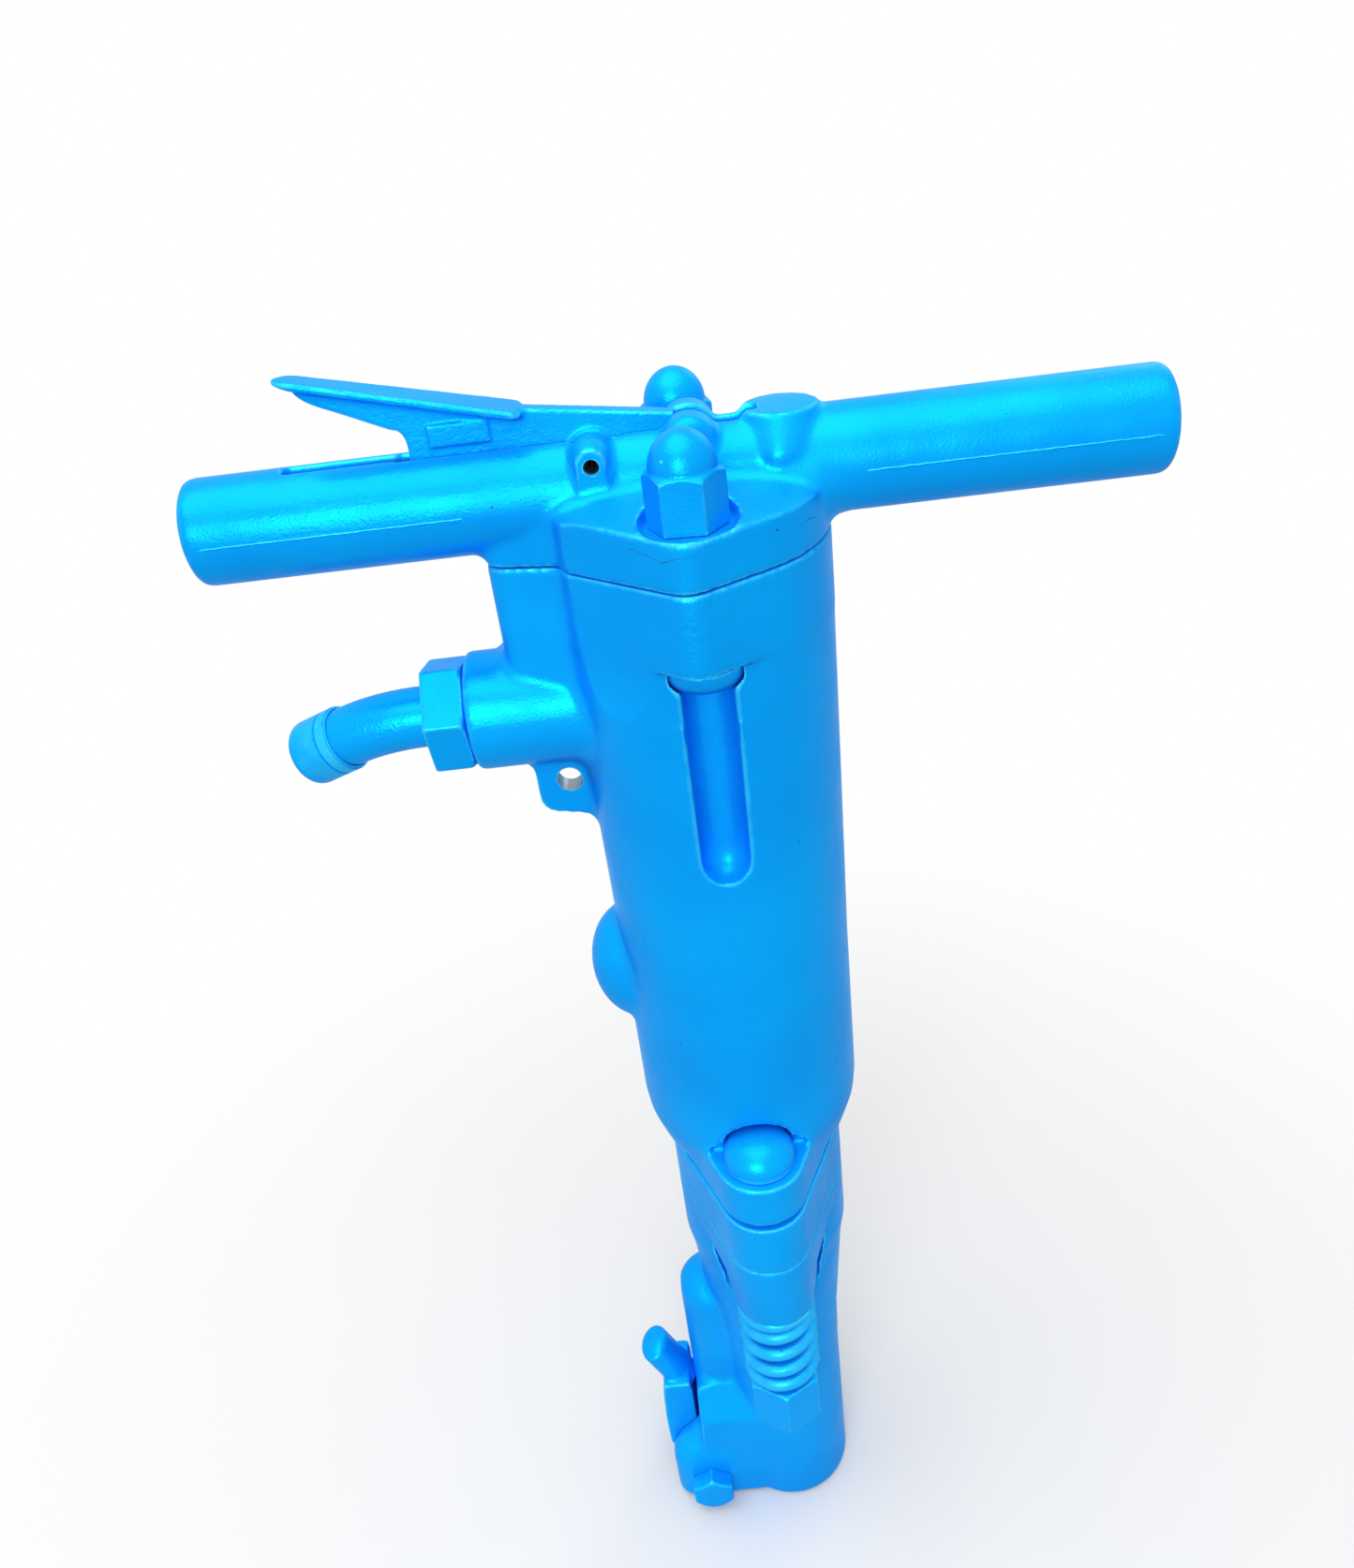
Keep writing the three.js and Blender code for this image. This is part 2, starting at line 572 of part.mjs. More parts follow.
function cylinderCasting() {
  const low = level.cylinder + seat;
  const top = level.backhead;
  const body = revolve([
    [0, low],
    [barrel.neck, low],
    [barrel.radius * barrel.nipShare, barrel.nip],
    [barrel.radius, barrel.shoulder],
    [barrel.radius, barrel.taperFoot],
    [barrel.topRadius, flange.shelf - flange.blend],
    [flange.body, flange.shelf + flange.blend],
    [flange.body, top],
    [0, top],
  ], 36);
  const upper = prism(eared(flange.body, flange.reach, flange.ear), flange.shelf, top);
  const lowerRing = eared(barrel.neck, rod.reach, rod.ear);
  const lower = prism(lowerRing, low, rod.earTop);
  const boss = alongX(cylinder(inlet.boss, inlet.face, inlet.root, 28)).translate(0, 0, inlet.level);
  const stub = alongX(cylinder(inlet.stub, inlet.stubEnd, inlet.root, 20)).translate(0, 0, inlet.level);
  const air = prism(chestBand, inlet.level, top);
  const bossRoot = loft([
    { outline: chestBand, z: inlet.level + inlet.boss * 0.6 },
    { outline: chestBand, z: inlet.level + inlet.boss * 1.3 },
  ]);
  const hanger = upright(band([
    [lug.x, lug.z, lug.radius],
    [lug.rootX, lug.rootZ, lug.radius * 1.2],
    [lug.rootX, inlet.level, lug.radius * 1.5],
  ], 24), lug.half);
  const dome = new THREE.SphereGeometry(1, 14, 10)
    .scale(blister.out, blister.wide, blister.tall)
    .translate(blister.x, 0, blister.z);
  const whole = join(...[body, upper, lower, boss, stub, air, bossRoot, hanger, dome].map(solid));
  const pocketTop = rod.earTop + rodHead.crown + rodHead.rim;
  const wells = [1, -1].flatMap((side) => {
    const y = side * flange.reach;
    const front = side * relief.grooveAt;
    const out = side * (rod.reach + rod.ear);
    const span = (from, to) => [Math.min(from, to), Math.max(from, to)];
    return [
      reliefWedge(side, out),
      cylinder(backBolt.head + seat * 2, flange.shelf - backBolt.headThick * 1.6, flange.shelf, 24)
        .translate(0, y, 0),
      cylinder(relief.groove, relief.grooveEnd, flange.shelf).translate(0, front, 0),
      new THREE.SphereGeometry(relief.groove, 18, 6).rotateX(Math.PI / 2)
        .translate(0, front, relief.grooveEnd),
      cylinder(backBolt.radius + backBolt.hole, flange.shelf - over, top + over).translate(0, y, 0),
      cylinder(rod.hole, low - over, rod.earTop + over).translate(0, side * rod.reach, 0),
      cylinder(rod.pocket, rod.earTop, pocketTop, 24).translate(0, side * rod.reach, 0),
      box(-rod.pocketHalf, rod.pocketHalf, ...span(side * rod.pocketBack, out), rod.earTop, pocketTop),
    ];
  });
  const inside = [
    cylinder(bore.radius, stemTop, top + over, 24),
    cylinder(stemBore.radius, low - over, stemTop + over, 24),
    cylinder(chamber.radius + chamber.fit, chamber.floor, top + over, 24),
    cylinder(valve.chamber, valve.floor, top + over).translate(valve.x, 0, 0),
    cylinder(valve.throat, inlet.level, valve.floor + over, 16).translate(valve.x, 0, 0),
    alongX(cylinder(inlet.bore, inlet.stubEnd - over, valve.x + inlet.bore))
      .translate(0, 0, inlet.level),
  ];
  const keep = solid(cylinder(bore.radius + bore.wall, stemTop, flange.shelf, 24));
  const port = band([
    [0, exhaust.level, exhaust.half],
    [0, exhaust.level - exhaust.length, exhaust.half],
  ], 16);
  const vent = prism(port, 0, barrel.radius + over).rotateX(Math.PI / 2).rotateZ(Math.PI);
  const lugHole = alongY(cylinder(lug.hole, -lug.half - over, lug.half + over, 20))
    .translate(lug.x, 0, lug.z);
  const outside = wells.map((tool) => solid(tool).subtract(keep));
  return cut(whole, ...outside, ...[...inside, vent, lugHole].map(solid));
}

// Levels of the valve box, from its foot to the backhead.
const boxFoot = chamber.floor + seat;
const boxRim = boxFoot + chamber.lower;
const flapFoot = boxRim - flapper.thick + seat;

function valveBoxLower() {
  const wall = flapper.outer + seat;
  return solid(revolve([
    [chamber.port, boxFoot],
    [chamber.radius, boxFoot],
    [chamber.radius, boxRim + chamber.travel],
    [wall, boxRim + chamber.travel],
    [wall, flapFoot - seat],
    [chamber.port, flapFoot - seat],
    [chamber.port, boxFoot],
  ]));
}

function automaticValve() {
  return solid(sleeve(flapper.outer, flapper.inner, flapFoot, flapFoot + flapper.thick));
}

function valveBoxUpper() {
  const low = boxRim + chamber.travel + seat;
  return solid(sleeve(chamber.radius, chamber.port, low, level.backhead - seat));
}

const pistonFoot = anvil.top + anvil.travel + seat;
const pistonShoulder = stemTop + piston.clear;

function pistonPiece() {
  const radius = bore.radius - bore.fit;
  const low = pistonShoulder;
  const top = low + piston.head;
  const profile = [
    [0, pistonFoot],
    [piston.stem - piston.chamfer, pistonFoot],
    [piston.stem, pistonFoot + piston.chamfer],
    [piston.stem, low],
    [radius - piston.chamfer, low],
    [radius, low + piston.chamfer],
  ];
  const floor = radius - piston.groove;
  for (const share of [0.3, 0.6]) {
    const start = low + piston.head * share;
    const end = start + piston.grooveWide;
    profile.push([radius, start], [floor, start + piston.groove]);
    profile.push([floor, end], [radius, end + piston.groove]);
  }
  profile.push([radius, top - piston.chamfer], [radius - piston.chamfer, top], [0, top]);
  return solid(revolve(profile, 20));
}

function anvilPiece() {
  const waist = anvil.foot + anvil.shoulderThick;
  return solid(revolve([
    [0, anvil.foot],
    [anvil.shoulder - anvil.chamfer, anvil.foot],
    [anvil.shoulder, anvil.foot + anvil.chamfer],
    [anvil.shoulder, waist - anvil.chamfer],
    [anvil.shoulder - anvil.chamfer, waist],
    [anvil.stem, waist],
    [anvil.stem, anvil.top - anvil.chamfer],
    [anvil.stem - anvil.chamfer, anvil.top],
    [0, anvil.top],
  ], 20));
}

const bushingFoot = anvil.foot + anvil.shoulderThick + anvil.travel + seat;

function anvilBushingPiece() {
  const inner = anvil.stem + anvilBushing.fit;
  return solid(sleeve(anvilBushing.outer, inner, bushingFoot, anvilBushing.top));
}

function anvilBlock() {
  const low = level.block + seat;
  const outline = eared(barrel.neck, rod.reach, rod.ear);
  const lip = 1 - block.chamfer / (rod.reach + rod.ear);
  const plate = loft([
    { outline, z: low },
    { outline, z: level.cylinder - block.chamfer },
    { outline, z: level.cylinder, across: lip },
  ]);
  const tools = [
    cylinder(anvil.stem + anvilBushing.fit, low - over, level.cylinder + over, 24),
    cylinder(anvilBushing.outer + seat, low - over, anvilBushing.top + seat, 24),
    ...[1, -1].map((side) => cylinder(rod.hole, low - over, level.cylinder + over)
      .translate(0, side * rod.reach, 0)),
  ];
  return cut(solid(plate), ...tools.map(solid));
}

// Air inlet

function swivelNut() {
  const { flats, end, start, bevel, faceBevel } = swivel;
  const shell = bevelledHexagon(flats, end, start, faceBevel, bevel);
  const thread = cylinder(inlet.stub + seat, swivel.end + swivel.lip, swivel.start + over);
  const lip = cylinder(spud.radius + seat * 2, swivel.end - over, swivel.start + over);
  const nut = geometryOf(cut(shell, solid(thread), solid(lip)));
  nut.rotateZ(THREE.MathUtils.degToRad(swivel.turn));
  return solid(alongX(nut).translate(0, 0, inlet.level));
}

const gasketFace = inlet.stubEnd - seat;
const flangeFace = gasketFace - gasket.thick - seat;

function inletGasket() {
  const ring = sleeve(spud.flange, inlet.bore, gasketFace - gasket.thick, gasketFace, 20);
  return solid(alongX(ring).translate(0, 0, inlet.level));
}

// The spud leaves the nut straight, then bends down and a little to the rear.
function spudRoute() {
  const side = new THREE.Vector3(0, Math.sin(bendTilt), -Math.cos(bendTilt));
  const start = new THREE.Vector3(flangeFace - spud.flangeThick / 2, 0, inlet.level);
  const points = [start, new THREE.Vector3((flangeFace + spud.straight) / 2, 0, inlet.level)];
  for (let i = 0; i <= 6; i += 1) {
    const angle = (i / 6) * bendAngle;
    const point = new THREE.Vector3(spud.straight - spud.bend * Math.sin(angle), 0, inlet.level);
    points.push(point.addScaledVector(side, spud.bend * (1 - Math.cos(angle))));
  }
  const way = new THREE.Vector3(-Math.cos(bendAngle), 0, 0)
    .addScaledVector(side, Math.sin(bendAngle));
  const mouth = points.at(-1).clone();
  points.push(mouth.clone().addScaledVector(way, collar.grip / 2));
  points.push(mouth.clone().addScaledVector(way, collar.grip));
  return { points, mouth, way };
}

function roundPath(points, radius, sides, steps) {
  const circle = band([[0, 0, radius]], sides);
  const disc = new THREE.Shape(circle.map(([x, y]) => new THREE.Vector2(x, y)));
  const curve = new THREE.CatmullRomCurve3(points, false, 'centripetal');
  return new THREE.ExtrudeGeometry(disc, { steps, bevelEnabled: false, extrudePath: curve });
}

function inletSpud() {
  const { points } = spudRoute();
  const tube = solid(roundPath(points, spud.radius, 18, 11));
  const flangeRing = cylinder(spud.flange, flangeFace - spud.flangeThick, flangeFace, 28);
  const first = points[0].clone().setX(points[0].x + over);
  const past = points.at(-1).clone().lerp(points.at(-2), -1);
  const hollow = solid(roundPath([first, ...points, past], spud.bore, 12, 10));
  return join(tube, solid(alongX(flangeRing).translate(0, 0, inlet.level))).subtract(hollow);
}

function spudCollar() {
  const { mouth, way } = spudRoute();
  const inner = spud.radius + seat;
  const end = collar.length;
  const profile = [
    [inner, 0],
    [collar.radius - collar.neck, 0],
    [collar.radius - collar.neck, collar.neckWide],
    [collar.radius, collar.neckWide + collar.neck],
    ...brow(collar.radius, end, collar.round),
    [spud.bore, end],
    [spud.bore, collar.grip + seat],
    [inner, collar.grip + seat],
    [inner, 0],
  ];
  const turn = new THREE.Quaternion().setFromUnitVectors(new THREE.Vector3(0, 0, 1), way);
  return solid(revolve(profile, 20).applyQuaternion(turn).translate(mouth.x, mouth.y, mouth.z));
}

// Front end

function rodPiece(side) {
  const floor = rod.earTop + seat;
  const rim = floor + rodHead.rim;
  const profile = [
    [0, rod.end],
    [rod.radius - rod.chamfer, rod.end],
    [rod.radius, rod.end + rod.chamfer],
    [rod.radius, floor],
    [rodHead.radius, floor],
    ...quarter(4).map((t) => [
      rodHead.radius * Math.cos(t), rim + (rodHead.crown - rodHead.rim) * Math.sin(t),
    ]),
  ];
  return solid(revolve(profile, 24).translate(0, side * rod.reach, 0));
}

function rodNutPiece(side) {
  const { flats, low, high, bevel } = rodNut;
  const hole = cylinder(rod.radius + seat, low - over, high + over);
  const nut = bevelledHexagon(flats, low, high, bevel, bevel).subtract(solid(hole));
  return nut.translate([0, side * rod.reach, 0]);
}

function rodSpring(side) {
  const { piece, gap } = coil(spring, rodNut.high + seat, spring.top - seat);
  console.log('fronthead spring, least gap to itself, mm', gap.toFixed(2));
  return piece.translate([0, side * rod.reach, 0]);
}

// The outline of the two cheeks that carry the latch, in X and Z.
const cheekBand = band([
  [cheek.out + cheek.corner, cheek.low + cheek.corner, cheek.corner],
  [cheek.inner - cheek.corner, cheek.low + cheek.corner, cheek.corner],
  [cheek.out + cheek.shoulderRound, cheek.shoulder - cheek.shoulderRound, cheek.shoulderRound],
  [cheek.crestX + cheek.crestRound, cheek.crest - cheek.crestRound, cheek.crestRound],
  [cheek.inner - cheek.crestRound, cheek.crest - cheek.crestRound, cheek.crestRound],
], 36);

function fronthead() {
  const barrelBody = revolve([
    [0, 0],
    ...foot(head.foot, 0, head.round),
    [head.foot, head.low],
    [head.midRadius, head.mid],
    [head.highRadius, head.high],
    [head.neckRadius, head.neck],
    [head.topRadius, head.shoulder],
    [head.topRadius, level.block],
    [0, level.block],
  ], 36);
  const ears = loft([
    { outline: eared(head.earBody, rod.reach, head.earLow), z: spring.top },
    { outline: eared(head.earRoot, rod.reach, head.earLow), z: head.earWaist },
    { outline: eared(barrel.neck, rod.reach, rod.ear), z: level.block - block.chamfer },
    { outline: eared(barrel.neck, rod.reach, rod.ear), z: level.block },
  ]);
  const ribBody = revolve([
    [0, cheek.low],
    [rib.radius, cheek.low],
    ...quarter(4).map((t) => [rib.radius * Math.cos(t), rib.top - rib.dome + rib.dome * Math.sin(t)]),
  ], 24).translate(rib.x, 0, 0);
  const cheeks = upright(cheekBand, cheek.half);
  const whole = join(...[barrelBody, ears, ribBody, cheeks].map(solid));
  const scallops = [1, -1].flatMap((side) => [
    cylinder(head.scallop, rod.end - seat * 2, spring.top, 28).translate(0, side * rod.reach, 0),
    cylinder(rod.hole, spring.top - over, level.block + over).translate(0, side * rod.reach, 0),
  ]);
  const sweep = latch.lobe + latch.lobeRise + latch.gap;
  const slot = [
    alongY(cylinder(sweep, -cheek.slot, cheek.slot, 32)).translate(latch.x, 0, latch.z),
    box(cheek.out - over, latch.front + latch.gap * 2, -cheek.slot, cheek.slot, -over, rib.top),
    box(cheek.out - over, latch.x, -cheek.slot, cheek.slot, -over, latch.z),
  ];
  const tools = [
    ...scallops,
    ...slot,
    cylinder(chuck.collar, -over, chuck.collarTop, 24),
    cylinder(chuck.bushing + seat, -over, chuck.flangeLow + over, 24),
    cylinder(chuck.flange + seat, chuck.flangeLow - seat, chuck.flangeTop, 24),
    cylinder(chuck.bore, chuck.flangeTop - over, level.block + over, 24),
    alongY(cylinder(latchBolt.radius + seat, -cheek.half - over, cheek.half + over, 20))
      .translate(latch.x, 0, latch.z),
    cylinder(plunger.radius + plunger.fit, latch.z, plunger.boreTop, 20).translate(plunger.x, 0, 0),
  ];
  return cut(whole, ...tools.map(solid));
}

function chuckBushing() {
  const body = revolve([
    [0, chuck.collarTop + seat],
    [chuck.bushing, chuck.collarTop + seat],
    [chuck.bushing, chuck.flangeLow],
    [chuck.flange, chuck.flangeLow],
    [chuck.flange, chuck.flangeTop],
    [0, chuck.flangeTop],
  ]);
  const hexCut = hexagon(chuck.flats, chuck.collarTop - over, chuck.flangeTop + over);
  const corner = chuck.flats / Math.sqrt(3);
  const mouth = revolve([
    [0, chuck.collarTop - over],
    [corner + chuck.mouth, chuck.collarTop - over],
    [corner + chuck.mouth, chuck.collarTop + seat],
    [corner - chuck.mouth, chuck.collarTop + chuck.mouth * 2],
    [0, chuck.collarTop + chuck.mouth * 2],
  ], 24);
  return cut(solid(body), solid(hexCut), solid(mouth));
}

function retainerLatch() {
  const lobe = [];
  for (let i = 0; i <= 10; i += 1) {
    const angle = THREE.MathUtils.degToRad(latch.lobeStart + (latch.lobeSweep * i) / 10);
    const reach = latch.lobe + latch.lobeRise * (1 - i / 10);
    lobe.push([latch.x + reach * Math.cos(angle), latch.z + reach * Math.sin(angle)]);
  }
  const hubCorner = latch.hub * Math.SQRT1_2;
  const outline = [
    ...lobe,
    [latch.front, latch.z + latch.lobe],
    [latch.front, latch.neck - latch.finger],
    [latch.rootX + latch.finger, latch.neck],
    [latch.rootX - latch.finger, latch.neck],
    [latch.back, latch.neck - latch.finger * 2],
    [latch.back, latch.z + latch.hub],
    [latch.x - latch.hub, latch.z + latch.hub / 3],
    [latch.x - hubCorner, latch.z - hubCorner],
    [latch.x, latch.z - latch.hub],
    [latch.x + hubCorner, latch.z - hubCorner],
  ];
  const shape = new THREE.Shape(outline.map(([x, y]) => new THREE.Vector2(x, y)));
  const body = new THREE.ExtrudeGeometry(shape, { depth: latch.half * 2, bevelEnabled: false })
    .translate(0, 0, -latch.half).rotateX(Math.PI / 2);
  const run = Math.hypot(latch.fingerX - latch.rootX, latch.fingerZ - latch.rootZ);
  const lean = Math.atan2(latch.fingerX - latch.rootX, latch.fingerZ - latch.rootZ);
  const tip = latch.finger / 2;
  const finger = revolve([
    [0, -latch.finger],
    [latch.finger, -latch.finger],
    ...quarter(4).map((t) => [latch.finger * Math.cos(t), run - tip + tip * Math.sin(t)]),
  ], 20).scale(1, latch.fingerHalf / latch.finger, 1)
    .rotateY(lean)
    .translate(latch.rootX, 0, latch.rootZ);
  const hole = alongY(cylinder(latch.hole, -latch.half - over, latch.half + over, 20))
    .translate(latch.x, 0, latch.z);
  return cut(join(solid(body), solid(finger)), solid(hole));
}

function latchBoltPiece() {
  const face = cheek.half + seat;
  const { flats, radius, bevel } = latchBolt;
  const hex = bevelledHexagon(flats, face, face + latchBolt.head, 0, bevel);
  const shank = cylinder(radius, -face - latchBolt.nut - latchBolt.tail, face + seat, 20);
  return solid(alongY(geometryOf(join(hex, solid(shank)))).translate(latch.x, 0, latch.z));
}

function latchNutPiece() {
  const face = cheek.half + seat;
  const { flats, radius, nut, bevel } = latchBolt;
  const hex = bevelledHexagon(flats, -face - nut, -face, bevel, 0);
  const hole = cylinder(radius + seat, -face - nut - over, -face + over, 20);
  const piece = geometryOf(hex.subtract(solid(hole))).rotateZ(Math.PI / 6);
  return solid(alongY(piece).translate(latch.x, 0, latch.z));
}

const plungerShoulder = plunger.tip + plunger.length;

function plungerPiece() {
  const spigot = plungerSpring.radius - plungerSpring.wire - seat;
  return solid(revolve([
    ...foot(plunger.radius, plunger.tip, plunger.radius, 3),
    [plunger.radius, plungerShoulder],
    [spigot, plungerShoulder],
    [spigot, plungerShoulder + plunger.stem],
    [0, plungerShoulder + plunger.stem],
  ], 20).translate(plunger.x, 0, 0));
}

function plungerSpringPiece() {
  const size = { ...plungerSpring, closedPitch: plungerSpring.wire * 3, lift: plungerSpring.wire };
  const { piece, gap } = coil(size, plungerShoulder + seat, plunger.boreTop - seat);
  console.log('latch plunger spring, least gap to itself, mm', gap.toFixed(2));
  return piece.translate([plunger.x, 0, 0]);
}

// Assembly

function geometryOf(piece) {
  const data = piece.getMesh();
  const geometry = new THREE.BufferGeometry();
  geometry.setAttribute('position', new THREE.Float32BufferAttribute(data.vertProperties, 3));
  geometry.setIndex(new THREE.Uint32BufferAttribute(data.triVerts, 1));
  return geometry;
}

const paint = { color: 0x189cf2, roughness: 0.28, metalness: 0 };
const steel = { color: 0x8d9196, roughness: 0.38, metalness: 0.95 };
const dark = { color: 0x54575b, roughness: 0.5, metalness: 0.9 };
const bronze = { color: 0x9a7440, roughness: 0.42, metalness: 0.9 };
const fibre = { color: 0x6a5a48, roughness: 0.8, metalness: 0 };

const breaker = new THREE.Group();

function add(name, piece, finish) {
  const geometry = toCreasedNormals(geometryOf(piece), Math.PI / 5);
  const mesh = new THREE.Mesh(geometry, new THREE.MeshStandardMaterial(finish));
  mesh.name = name;
  breaker.add(mesh);
}

add('backhead', backhead(), paint);
add('throttle_lever', throttleLever(), paint);
add('lever_pin', leverPin(), dark);
add('throttle_valve', throttleValve(), steel);
add('throttle_valve_bushing', throttleBushing(), bronze);
add('throttle_valve_spring', throttleSpring(), steel);
add('cylinder', cylinderCasting(), paint);
add('valve_box_lower', valveBoxLower(), steel);
add('automatic_valve', automaticValve(), dark);
add('valve_box_upper', valveBoxUpper(), steel);
add('piston', pistonPiece(), steel);
add('anvil', anvilPiece(), steel);
add('anvil_bushing', anvilBushingPiece(), bronze);
add('anvil_block', anvilBlock(), paint);
add('swivel_nut', swivelNut(), paint);
add('inlet_gasket', inletGasket(), fibre);
add('inlet_spud', inletSpud(), paint);
add('spud_collar', spudCollar(), paint);
add('fronthead', fronthead(), paint);
add('chuck_bushing', chuckBushing(), steel);
add('retainer_latch', retainerLatch(), paint);
add('latch_bolt', latchBoltPiece(), paint);
add('latch_nut', latchNutPiece(), paint);
add('latch_plunger', plungerPiece(), steel);
add('latch_plunger_spring', plungerSpringPiece(), steel);
for (const [place, side] of [['front', -1], ['rear', 1]]) {
  add(`backhead_bolt_${place}`, backheadBolt(side), paint);
  add(`acorn_nut_${place}`, acornNut(side), paint);
  add(`fronthead_bolt_${place}`, rodPiece(side), paint);
  add(`fronthead_spring_${place}`, rodSpring(side), paint);
  add(`fronthead_nut_${place}`, rodNutPiece(side), paint);
}

export default breaker;
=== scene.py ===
# %% [markdown]
# # A pneumatic jackhammer, dressed
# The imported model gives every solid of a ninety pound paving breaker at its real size. This lesson
# dresses it: each casting, bolt, nut and spring that shows is built again with a finer mesh and gets
# the thick sky-blue enamel of the real tool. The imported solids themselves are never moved.

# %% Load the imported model
import json
import math
import random

import bpy
from mathutils import Matrix, Vector


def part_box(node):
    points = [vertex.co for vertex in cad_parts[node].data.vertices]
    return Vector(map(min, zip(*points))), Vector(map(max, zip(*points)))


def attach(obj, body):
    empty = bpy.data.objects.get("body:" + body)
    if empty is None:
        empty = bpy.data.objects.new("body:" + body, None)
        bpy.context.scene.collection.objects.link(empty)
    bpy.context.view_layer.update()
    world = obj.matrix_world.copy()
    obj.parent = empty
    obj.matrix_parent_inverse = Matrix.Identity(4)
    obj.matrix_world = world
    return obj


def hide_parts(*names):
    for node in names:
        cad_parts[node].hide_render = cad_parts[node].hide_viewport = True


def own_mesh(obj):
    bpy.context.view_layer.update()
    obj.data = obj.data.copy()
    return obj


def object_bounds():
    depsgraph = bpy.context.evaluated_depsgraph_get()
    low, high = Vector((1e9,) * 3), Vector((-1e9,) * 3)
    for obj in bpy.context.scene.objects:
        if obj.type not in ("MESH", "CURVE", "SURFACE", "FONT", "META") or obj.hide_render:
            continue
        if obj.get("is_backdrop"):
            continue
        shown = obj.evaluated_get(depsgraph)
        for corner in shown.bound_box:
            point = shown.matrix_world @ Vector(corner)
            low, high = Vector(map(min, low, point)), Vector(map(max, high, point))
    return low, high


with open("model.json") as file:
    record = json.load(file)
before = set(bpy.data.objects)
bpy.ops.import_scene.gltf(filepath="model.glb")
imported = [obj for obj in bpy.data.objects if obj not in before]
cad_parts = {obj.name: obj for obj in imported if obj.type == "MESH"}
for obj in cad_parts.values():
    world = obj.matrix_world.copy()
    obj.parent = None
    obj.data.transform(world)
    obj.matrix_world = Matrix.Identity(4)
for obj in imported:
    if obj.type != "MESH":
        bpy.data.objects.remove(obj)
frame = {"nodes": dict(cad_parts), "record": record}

cad_low, cad_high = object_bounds()
MM = 0.001
print("solids:", len(frame["nodes"]), "box in mm:", [round(v / MM, 1) for v in cad_high - cad_low])

# %% [markdown]
# The castings meet at machined joints, and every piece here must meet its neighbour at the same
# levels as the solids do. Reading those levels from the model keeps the two from drifting apart.
# All sizes below are in millimetres, as on a maker's drawing.

# %% Levels that the model gives


def corners(node):
    low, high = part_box(node)
    return low / MM, high / MM


barrel_foot = corners("cylinder")[0].z
barrel_top = corners("cylinder")[1].z
backhead_foot = corners("backhead")[0].z
bar_left, bar_right = corners("backhead")[0].x, corners("backhead")[1].x
block_foot, block_top = corners("anvil_block")[0].z, corners("anvil_block")[1].z
fronthead_top = corners("fronthead")[1].z
print("joints at", round(fronthead_top, 1), round(block_top, 1), round(barrel_top, 1))

# %% [markdown]
# The photograph was taken from close by, a little above the handle, so the tool tapers strongly
# towards the floor. The camera stands where a fit to the known lengths puts it, and its lens has
# the same opening, so that the render can be laid over the photograph.

# %% Camera
EYE = Vector((-1.1, -491.3, 817.6)) * MM
AZIMUTH, ELEVATION, ROLL = (math.radians(a) for a in (2.0, 31.4, -7.5))
FRAME_HEIGHT, FOCAL_PIXELS = 1674, 1357.5

back = Vector((
    math.sin(AZIMUTH) * math.cos(ELEVATION),
    -math.cos(AZIMUTH) * math.cos(ELEVATION),
    math.sin(ELEVATION),
))
level_right = (-back).cross(Vector((0, 0, 1))).normalized()
level_up = level_right.cross(-back)
right = math.cos(ROLL) * level_right + math.sin(ROLL) * level_up
up = -math.sin(ROLL) * level_right + math.cos(ROLL) * level_up

camera_data = bpy.data.cameras.new("camera")
camera_data.sensor_width = 36
camera_data.lens = camera_data.sensor_width * FOCAL_PIXELS / FRAME_HEIGHT
camera_data.clip_start = 0.01
camera = bpy.data.objects.new("camera", camera_data)
bpy.context.scene.collection.objects.link(camera)
camera.matrix_world = Matrix.Translation(EYE) @ Matrix((right, up, back)).transposed().to_4x4()
bpy.context.scene.camera = camera
print("lens", round(camera_data.lens, 2), "mm")

# %% [markdown]
# The tool is shown like a catalogue picture: light from above as under an overcast sky, and a white
# ground. One large lamp above makes the bright tops of the handle. A second one in front, a little to
# the left, fills the face, and a weak one behind keeps the back from going dark. Small lamps would
# leave hard spots on the enamel, so all three are wide discs.

# %% Lamps
scene = bpy.context.scene
scene.view_settings.view_transform = "Standard"
TOOL_MIDDLE = Vector((0, 0, 0.45))


def lamp(name, place, size, power):
    data = bpy.data.lights.new(name, "AREA")
    data.shape, data.size, data.energy = "DISK", size, power
    light = bpy.data.objects.new(name, data)
    light.location = place
    light.rotation_euler = (Vector(place) - TOOL_MIDDLE).to_track_quat("Z", "Y").to_euler()
    scene.collection.objects.link(light)


lamp("top_lamp", (-0.2, -0.2, 2.2), 2.1, 23)
lamp("front_lamp", (-0.5, -2.2, 1.3), 1.5, 30)
lamp("rear_lamp", (1.2, 1.8, 1.5), 1.2, 5)

# %% [markdown]
# A pale world lights what the lamps leave out. It gives its light from above the horizon and next to
# none from below, because the ground would hide it there. The camera, and whatever mirrors or passes
# its view, sees plain white instead: Light Path tells these rays from the ones that bring light.

# %% World


def shows_white(tree):
    rays = tree.nodes.new("ShaderNodeLightPath")
    total = rays.outputs["Is Camera Ray"]
    for label in ("Is Glossy Ray", "Is Transmission Ray"):
        add = tree.nodes.new("ShaderNodeMath")
        add.operation = "MAXIMUM"
        tree.links.new(total, add.inputs[0])
        tree.links.new(rays.outputs[label], add.inputs[1])
        total = add.outputs[0]
    return total


